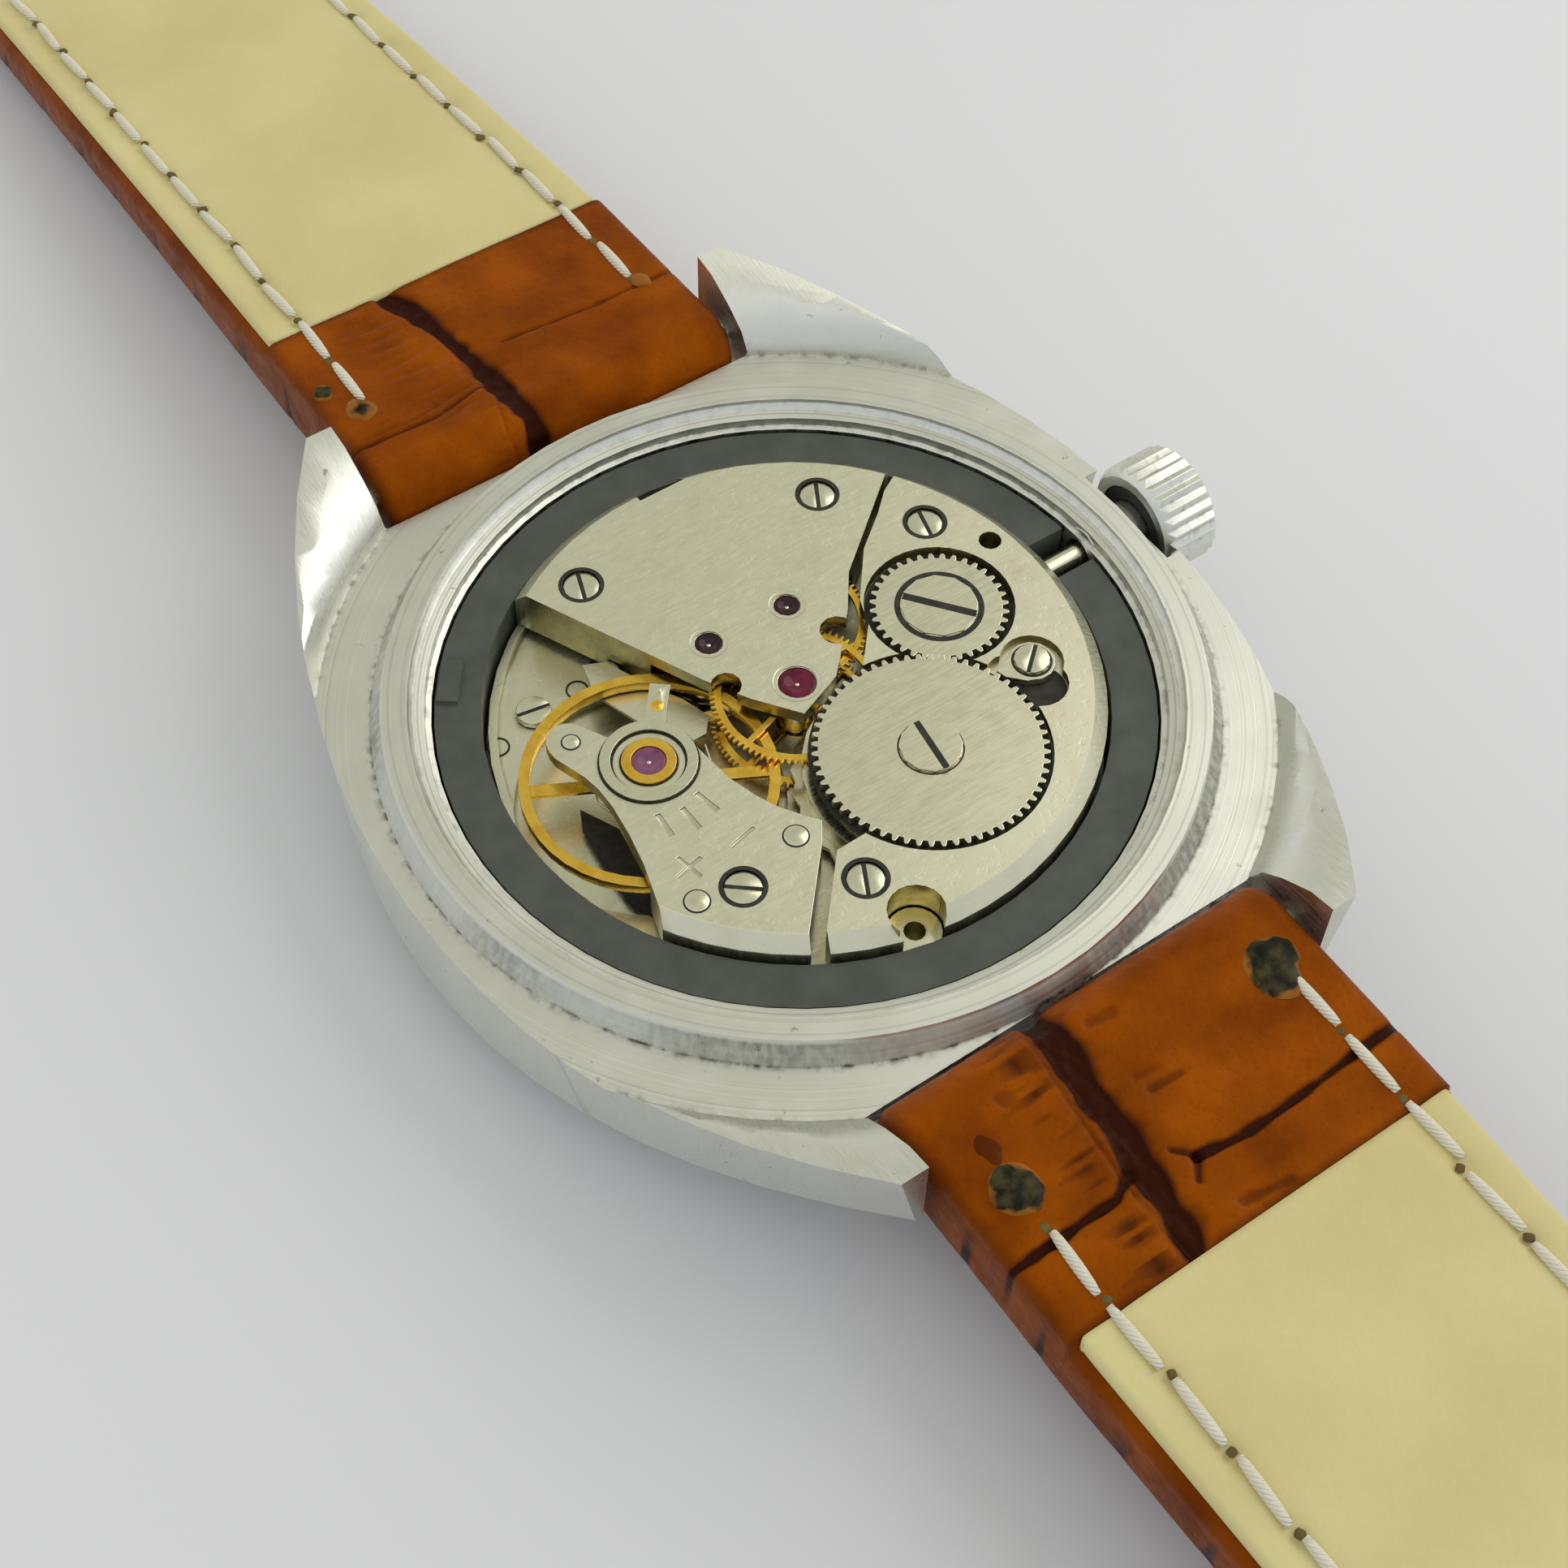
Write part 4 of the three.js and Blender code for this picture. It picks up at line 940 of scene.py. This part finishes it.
def surface_height(half, x, y):
    """Height of the lining side at a point, leather fold or lining."""
    fold, _ = fold_relief(half, np.array([x]), np.array([y]))
    return float(half.top(y)) + (float(fold[0]) if y < LINING_START else 0.0)


def blob(points_out, faces_out, centre, radii, turn, rings=7, around=12):
    """Adds an ellipsoid with its long axis turned about Z to lists of points and faces."""
    start = len(points_out)
    c, s = math.cos(turn), math.sin(turn)
    for i in range(1, rings):
        a = math.pi * i / rings
        for j in range(around):
            b = 2 * math.pi * j / around
            round_off = math.sin(a) ** 0.55
            u = radii[0] * math.cos(a)
            v, w = radii[1] * round_off * math.cos(b), radii[2] * round_off * math.sin(b)
            points_out.append((centre[0] + c * u - s * v, centre[1] + s * u + c * v, centre[2] + w))
    for i in range(rings - 2):
        for j in range(around):
            a, b = start + i * around + j, start + i * around + (j + 1) % around
            faces_out.append((a, a + around, b + around, b))
    for i, flip in ((0, False), (rings - 2, True)):
        ring = [start + i * around + j for j in range(around)]
        faces_out.append(tuple(reversed(ring)) if flip else tuple(ring))


def add_stitches(half):
    """Thread lying on the lining side between needle holes, with the holes as small pits of painted shade."""
    rng = np.random.default_rng(half.seed + 70)
    thread, thread_faces, pits, pit_faces = [], [], [], []
    last = half.end - (8 if half.name == "strap_tail" else 10)
    for row, first in zip((-1, 1), half.stitch_start):
        for i in range(int((last - first) / STITCH_PITCH)):
            y0 = first + i * STITCH_PITCH + 0.08
            y1 = y0 + STITCH_PITCH - 0.26
            narrowing = float(half.half_width((y0 + y1) / 2)) / STRAP_HALF_WIDTH
            x = row * ROW_AT * narrowing + rng.uniform(-0.08, 0.08)
            lean = rng.uniform(-0.07, 0.07)
            middle = (y0 + y1) / 2
            z = surface_height(half, x, middle) + 0.03
            slope = float(half.top(y1) - half.top(y0)) / (y1 - y0)
            start = len(thread)
            blob(thread, thread_faces, (x, middle, z), ((y1 - y0) / 2, 0.24, 0.2), math.pi / 2 + lean)
            for k in range(start, len(thread)):
                px, py, pz = thread[k]
                thread[k] = (px, py, pz + slope * (py - middle))
            hole_y = y0 - 0.12 + rng.uniform(-0.1, 0.1)
            z = surface_height(half, x, hole_y) - 0.03
            size = rng.uniform(0.16, 0.3)
            centre = (x + rng.uniform(-0.12, 0.12), hole_y, z)
            blob(pits, pit_faces, centre, (size, 0.2, 0.07), rng.uniform(0, 3), 5, 10)
    for name, points, faces, material, slot in (
        ("thread", thread, thread_faces, THREAD, "cream_lining"),
        ("needle_holes", pits, pit_faces, HOLE, "tan_leather"),
    ):
        points, faces = laid_out(half, points, faces)
        mesh_object(f"{half.name}_{name}", points, faces, material, half.body)


# Where the thread's ends were melted down: (half, x, distance along, radius, height, darkness).
MELTED = (
    (1, -7.0, 23.6, 1.0, 0.3, 1.0),
    (1, 6.95, 21.5, 1.15, 0.3, 1.0),
    (1, -6.75, 21.6, 0.5, 0.06, 0.35),
    (0, -7.4, 23.0, 0.65, 0.3, 0.35),
    (0, -8.2, 24.9, 0.5, 0.12, 0.9),
    (0, 7.3, 22.9, 0.45, 0.2, 0.0),
)


def noise_at(x, y, scale, seed):
    return float(smooth_noise(np.array(x), np.array(y), scale, seed))


def add_melted_ends():
    """Flat lumps of melted thread, burnt dark in the middle; the lowest is only a lump in the leather."""
    rings, around = 10, 28
    for i, (which, x, y, radius, height, burnt) in enumerate(MELTED):
        half = HALVES[which]
        points, dark = [], []
        for k in range(rings + 1):
            share = k / rings
            for j in range(around):
                a = 2 * math.pi * j / around
                bulge = 1 + 0.75 * (noise_at(3 + math.cos(a), 3 + math.sin(a), 0.9, i + 90) - 0.5)
                px = x + radius * share * bulge * math.cos(a)
                py = y + 1.15 * radius * share * bulge * math.sin(a)
                lumpy = noise_at(px + 30, py + 30, 0.4, i + 100)
                lift = height * math.sqrt(max(0.0, 1 - share**2)) * (0.6 + 0.7 * lumpy) - 0.04
                points.append((px, py, float(half.top(y)) + lift))
                dark.append(burnt * min(1.0, 1.6 * (1 - share) + 0.35 * lumpy))
        faces = []
        for k in range(rings):
            for j in range(around):
                a, b = k * around + j, k * around + (j + 1) % around
                faces.append((a + around, b + around, b, a))
        points, faces = laid_out(half, points, faces)
        is_thread = height > 0.1
        material = BURNT if is_thread else FINISHES["tan_leather"]
        made = mesh_object(f"melted_thread_{i}", points, faces, material, half.body)
        store(made, "burn", dark if is_thread else np.zeros(len(dark)))
        store(made, "crease", np.full(len(dark), 0.5))


KEEPER_WALL = 0.9
KEEPER_CORNER = 1.1
# A keeper's section as (share of its width, share of its wall from outside to inside).
KEEPER_SECTION = (
    (-0.5, 0.25), (-0.47, 0.06), (-0.4, 0.0), (0.4, 0.0), (0.47, 0.06), (0.5, 0.25),
    (0.5, 0.75), (0.47, 0.94), (0.4, 1.0), (-0.4, 1.0), (-0.47, 0.94), (-0.5, 0.75),
)
# Each keeper is (node, place, width, half of its opening, underside and top of its opening).
KEEPERS = (
    ("fixed_keeper", 81.0, 5.0, 8.25, 0.95, 7.2),
    ("free_keeper", 70.0, 6.0, 8.75, 0.95, 7.45),
)


def add_keepers():
    """The two keepers: leather bands bent into a rounded rectangle."""
    for name, y, width, half_x, under, over in KEEPERS:
        outline = []
        for sx, sz, start in ((1, 1, 0), (-1, 1, 90), (-1, -1, 180), (1, -1, 270)):
            cx = sx * (half_x + KEEPER_WALL - KEEPER_CORNER)
            cz = (over + KEEPER_WALL - KEEPER_CORNER) if sz > 0 else (under - KEEPER_WALL + KEEPER_CORNER)
            for a in np.radians(np.linspace(start, start + 90, 7)):
                outline.append((cx, cz, math.cos(a), math.sin(a)))
        points = []
        for cx, cz, nx, nz in outline:
            for along, depth in KEEPER_SECTION:
                reach = KEEPER_CORNER - depth * KEEPER_WALL
                points.append((cx + nx * reach, y + along * width, cz + nz * reach))
        rows, columns = len(outline), len(KEEPER_SECTION)
        faces = []
        for i in range(rows):
            here, ahead = i * columns, (i + 1) % rows * columns
            for j in range(columns):
                beside = (j + 1) % columns
                faces.append((here + j, here + beside, ahead + beside, ahead + j))
        points = np.array(points) * MM
        points[:, 1] *= -1
        leather = FINISHES["tan_leather"]
        made = mesh_object(name + "_band", points, faces, leather, body_of_node(name))
        store(made, "crease", np.zeros(len(points)))
        store(made, "burn", np.zeros(len(points)))
        made.data.set_sharp_from_angle(angle=math.radians(50))
        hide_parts(name)


# ---- wheels with their real teeth ----
RATCHET_TEETH = 60
CROWN_WHEEL_TEETH = 36
TOOTH_DEPTH = 0.26
TRAIN_TOOTH_DEPTH = 0.2
TRAIN_THICKNESS = 0.15
# Each wheel of the train is (node, teeth, tip radius, underside, place, outline of its staff).
TRAIN = (
    ("third_wheel", 75, 3.55, 6.2, THIRD, (
        (0, 4.88), (0.42, 4.88), (0.42, 5.2), (0.2, 5.25), (0.2, 6.3), (0.12, 6.35), (0.12, 6.9), (0, 6.9),
    )),
    ("fourth_wheel", 80, 3.62, 6.5, CENTRE, (
        (0, 1.8), (0.12, 1.8), (0.12, 6.1), (0.5, 6.1), (0.5, 6.5), (0.15, 6.65), (0.15, 6.9), (0, 6.9),
    )),
    ("centre_wheel", 80, 3.6, 4.9, CENTRE, (
        (0.2, 2.2), (0.34, 2.2), (0.34, 4.9), (0.55, 5.05), (0.55, 5.7), (0.2, 5.7),
    )),
)


def fine_wheel(node, loops, z0, z1, finish, at, bevel):
    body = body_of_node(node)
    return outline_solid(node + "_fine", loops, z0, z1, bevel, FINISHES[finish], body, at)


def add_wheels():
    """The two winding wheels, whose teeth mesh on the line between them, and the gilt train below."""
    line = math.atan2(CROWN_WHEEL[1] - BARREL[1], CROWN_WHEEL[0] - BARREL[0])
    loops = [gear(RATCHET_TEETH, 4.82 - TOOTH_DEPTH, 4.82, line + math.pi / RATCHET_TEETH), circle(0.62)]
    ratchet = fine_wheel("ratchet_wheel", loops, 7.02, 7.45, "bright_steel", BARREL, 0.03)
    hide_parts("ratchet_wheel")
    loops = [gear(CROWN_WHEEL_TEETH, 2.94 - TOOTH_DEPTH, 2.94, line + math.pi), circle(0.56)]
    crown = fine_wheel("crown_wheel", loops, 6.9, 7.3, "bright_steel", CROWN_WHEEL, 0.03)
    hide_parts("crown_wheel")
    for node, teeth, tip, z, at, staff in TRAIN:
        loops = [gear(teeth, tip - TRAIN_TOOTH_DEPTH, tip), *spoke_windows(4, 0.75, tip - 0.5, 0.26, 0.3)]
        made = fine_wheel(node, loops, z, z + TRAIN_THICKNESS, "gilt", at, 0.02)
        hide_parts(node)
        lathe(node + "_staff", staff, at, FINISHES["bright_steel"], body_of_node(node))


def painted_shade_ring(name, at, inner, outer, z, node):
    """A flat black ring of painted shade that stands for the gap round a screw, a jewel setting or a wheel.
    """
    lathe(name, [(outer, z), (inner, z)], at, SHADE_BLACK, body_of_node(node))


def screw_slot(node, at, r, z, angle):
    """The slot across a screw's head, as a flat black strip of painted shade."""
    c, s = math.cos(math.radians(angle)), math.sin(math.radians(angle))
    corners = [(-r, -0.11 * r), (r, -0.11 * r), (r, 0.11 * r), (-r, 0.11 * r)]
    points = [((at[0] + c * u - s * v) * MM, (at[1] + s * u + c * v) * MM, z * MM) for u, v in corners]
    mesh_object(node + "_slot", points, [(0, 1, 2, 3)], SHADE_BLACK, body_of_node(node))


def plate_void(name, outline, z):
    """An opening in the main plate under the balance, drawn as a flat black shape of painted shade."""
    points = [(x * MM, y * MM, z * MM) for x, y in outline]
    face = tuple(range(len(points)))
    mesh_object(name, points, [face], SHADE_BLACK, body_of_node("main_plate"), smooth=False)


def add_dial_marks():
    """Hour batons and minute dots on the dial's face, which looks down through the crystal."""
    front, back = DIAL_FACE - 0.09, DIAL_FACE + 0.01
    box = ((0, 1, 2, 3), (7, 6, 5, 4), (0, 4, 5, 1), (1, 5, 6, 2), (2, 6, 7, 3), (3, 7, 4, 0))
    points, faces = [], []
    for i in range(60):
        angle = math.pi * i / 30
        c, s = math.cos(angle), math.sin(angle)
        near, far, half = (9.6, 12.2, 0.35) if i % 5 == 0 else (12.4, 12.8, 0.08)
        start = len(points)
        for z in (back, front):
            for r, side in ((near, -half), (far, -half), (far, half), (near, half)):
                points.append(((r * c - side * s) * MM, (r * s + side * c) * MM, z * MM))
        faces += [tuple(start + k for k in face) for face in box]
    steel = FINISHES["bright_steel"]
    mesh_object("dial_marks", points, faces, steel, body_of_node("dial"), smooth=False)


def add_gaps():
    """Painted shade as black rings in the gaps round the screws, the winding wheels, the click and the
    balance's jewel setting.
    """
    screws = {"train_bridge": TRAIN_SCREWS, "barrel_bridge": BARREL_SCREWS, "balance_cock": (COCK_SCREW,)}
    for bridge, places in screws.items():
        for i, at in enumerate(places):
            painted_shade_ring(f"{bridge}_screw_gap_{i}", at, SCREW_RADIUS, 0.97, LINE_LEVEL, bridge)
    painted_shade_ring("ratchet_pocket", BARREL, 4.2, 4.96, 6.99, "barrel_bridge")
    painted_shade_ring("crown_wheel_pocket", CROWN_WHEEL, 2.4, 3.18, 6.87, "barrel_bridge")
    painted_shade_ring("click_pocket", (8.2, -5.6), 0.0, 1.2, 6.99, "barrel_bridge")
    painted_shade_ring("click_edge", CLICK, 0.75, 0.86, 7.41, "click")
    painted_shade_ring("crown_screw_gap", CROWN_WHEEL, 1.65, 1.9, 7.306, "crown_wheel")
    painted_shade_ring("ratchet_screw_gap", BARREL, 1.3, 1.37, 7.456, "ratchet_wheel")
    painted_shade_ring("setting_outer_line", BALANCE, 1.98, 2.07, LINE_LEVEL, "balance_cock")
    painted_shade_ring("setting_inner_line", BALANCE, 1.45, 1.55, LINE_LEVEL, "balance_cock")
    painted_shade_ring("setting_gap", BALANCE, 1.12, 1.2, LINE_LEVEL, "balance_cock")


def add_cock_pins():
    """The cock's three steady pins with a ring of painted shade round each, and the stud on the regulator."""
    pins = (((-9.35, -6.6), 0.48), ((-4.45, -6.25), 0.48), ((-9.3, 2.6), 0.34))
    cock = body_of_node("balance_cock")
    for i, (at, r) in enumerate(pins):
        rim = [(r, BRIDGE_TOP), (r, 7.43), (r - 0.04, 7.45), (0, 7.45)]
        lathe(f"cock_pin_{i}", rim, at, FINISHES["bright_steel"], cock)
        # painted shade in the gap round the pin
        painted_shade_ring(f"cock_pin_gap_{i}", at, r, r + 0.07, LINE_LEVEL, "balance_cock")
    reach, angle = 2.72, math.radians(50)
    stud = (BALANCE[0] + reach * math.cos(angle), BALANCE[1] + reach * math.sin(angle))
    head = [(0.27, 7.6), (0.27, 7.63), (0.22, 7.66), (0, 7.66)]
    lathe("regulator_stud", head, stud, FINISHES["gilt"], body_of_node("regulator"))


def add_clamp():
    """The brass cup of the clamp post and the rim of the hole in it."""
    cup = [(1.155, 5.3), (1.155, 7.36)]
    lathe("clamp_cup", cup, CLAMP, BRASS, body_of_node("barrel_bridge"), turn=200)
    rim = [(0.46, 5.8), (0.5, 5.93), (0.8, 5.93), (1.05, 5.9)]
    lathe("clamp_post_edge", rim, CLAMP, FINISHES["bright_steel"], body_of_node("main_plate"))


# Each screw is (node, place, head radius, top of its head, direction of its slot in degrees).
SCREW_SLOTS = (
    ("train_screw_1", TRAIN_SCREWS[0], SCREW_RADIUS, SCREW_TOP, 70),
    ("train_screw_2", TRAIN_SCREWS[1], SCREW_RADIUS, SCREW_TOP, 60),
    ("barrel_screw_1", BARREL_SCREWS[0], SCREW_RADIUS, SCREW_TOP, 75),
    ("barrel_screw_2", BARREL_SCREWS[1], SCREW_RADIUS, SCREW_TOP, 62),
    ("cock_screw", COCK_SCREW, SCREW_RADIUS, SCREW_TOP, -40),
    ("ratchet_screw", BARREL, 1.3, 7.67, 82),
    ("crown_wheel_screw", CROWN_WHEEL, 1.65, 7.4, -52),
    ("click_screw", CLICK, 0.75, 7.58, 40),
    ("plate_screw", (-8.9, 6.4), 0.75, 5.15, -10),
)


def add_screw_slots():
    for node, at, r, top, angle in SCREW_SLOTS:
        screw_slot(node, at, 0.97 * r, top + 0.004, angle)


# Openings in the main plate, drawn as black painted shade, by the part each one lies near.
PLATE_VOIDS = {
    "plate_void_cock": (
        (-9.9, 1.2), (-10.4, 0.2), (-10.6, -1.6), (-10.7, -3.6), (-10.1, -5.4), (-9.5, -2.9), (-9.1, -0.5),
    ),
    "plate_void_bridge": ((-4.0, 5.8), (-4.5, 4.7), (-4.1, 3.1), (-3.2, 2.1), (-2.4, 3.0), (-2.9, 4.8)),
    "plate_void_edge": ((-4.3, 6.9), (-5.1, 7.8), (-5.7, 7.2), (-5.4, 6.2), (-4.2, 6.0)),
}


def add_plate_details():
    """Openings and pins in the main plate, seen round the balance, with painted shade in the openings and
    round the pins.
    """
    for name, outline in PLATE_VOIDS.items():
        plate_void(name, outline, PLATE_LINE)
    radius = 0.42
    for i, at in enumerate(((-6.7, 6.5), (-11.0, 5.8))):
        painted_shade_ring(f"plate_pin_{i}", at, radius, radius + 0.07, PLATE_LINE, "main_plate")


def add_jewels():
    """Jewels with an oil cup and a pivot, three of them in a polished sink in the train bridge."""
    steel = FINISHES["bright_steel"]
    # each jewel is (node, place, radius, top, stone)
    jewels = (
        ("third_jewel", THIRD, 0.58, JEWEL_TOP, DARK_STONE),
        ("escape_jewel", ESCAPE, 0.6, JEWEL_TOP, DARK_STONE),
        ("centre_jewel", CENTRE, 0.82, JEWEL_TOP, FINISHES["ruby"]),
        ("balance_jewel", BALANCE, 0.7, 7.5, PALE_STONE),
    )
    for node, at, r, top, material in jewels:
        edge = [(r, top - 0.3), (r, top - 0.03), (r - 0.05, top), (0.62 * r, top - 0.01)]
        cup = edge + [(0.5 * r, top - 0.05), (0.25 * r, top - 0.12), (0.0, top - 0.13)]
        made = lathe(node + "_cup", cup, at, material, body_of_node(node))
        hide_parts(node)
        pivot = [(0.08, top - 0.14), (0.08, top - 0.1), (0.05, top - 0.08), (0, top - 0.07)]
        lathe(node + "_pivot", pivot, at, steel, body_of_node(node))
        if top < BRIDGE_TOP:
            sink = [(r + 0.2, RIM_LEVEL), (r + 0.17, RIM_LEVEL - 0.003), (r - 0.01, JEWEL_TOP + 0.005)]
            lathe(node + "_sink", sink, at, steel, body_of_node("train_bridge"))


EDGE_WIDTHS = {
    "case_body": 0.12,
    "train_bridge": 0.05,
    "barrel_bridge": 0.05,
    "balance_cock": 0.05,
    "main_plate": 0.05,
}
SMALL_EDGE = 0.025
WELD_DISTANCE = 1e-7  # metres


def slot_of_node(name):
    for entry in frame["record"]["subparts"]:
        if entry["node"] == name:
            return entry["material_slot"]
    return "bright_steel"


def soften_edges():
    """Gives every node of the part its finish, and the machined ones small polished edges."""
    for name, piece in nodes_of_part.items():
        slot = slot_of_node(name)
        piece.data.materials.clear()
        piece.data.materials.append(FINISHES[slot])
        if piece.hide_render or slot in ("tan_leather", "cream_lining"):
            continue
        weld = piece.modifiers.new("weld", "WELD")
        weld.merge_threshold = WELD_DISTANCE
        flatten = piece.modifiers.new("flat_faces", "DECIMATE")
        flatten.decimate_type = "DISSOLVE"
        flatten.angle_limit = math.radians(1)
        bevel = piece.modifiers.new("edges", "BEVEL")
        bevel.width = EDGE_WIDTHS.get(name, SMALL_EDGE) * MM
        bevel.segments = 2
        bevel.limit_method = "ANGLE"
        bevel.angle_limit = math.radians(35)
        piece.data.shade_smooth()
        shading = piece.modifiers.new("shading", "WEIGHTED_NORMAL")
        shading.mode = "FACE_AREA"
        shading.weight = 100
        shading.keep_sharp = False


add_camera()
add_world()
add_floor()
add_area_light("key", (0.33, -0.02, 0.28), (0, 0, 0), (0.4, 0.4), 0.56, (1, 0.99, 0.96))
add_wheels()
for half in HALVES:
    add_leather(half)
    add_lining(half)
    add_stitches(half)
add_melted_ends()
add_keepers()
add_gaps()
add_cock_pins()
add_clamp()
add_screw_slots()
add_plate_details()
add_jewels()
add_dial_marks()
soften_edges()
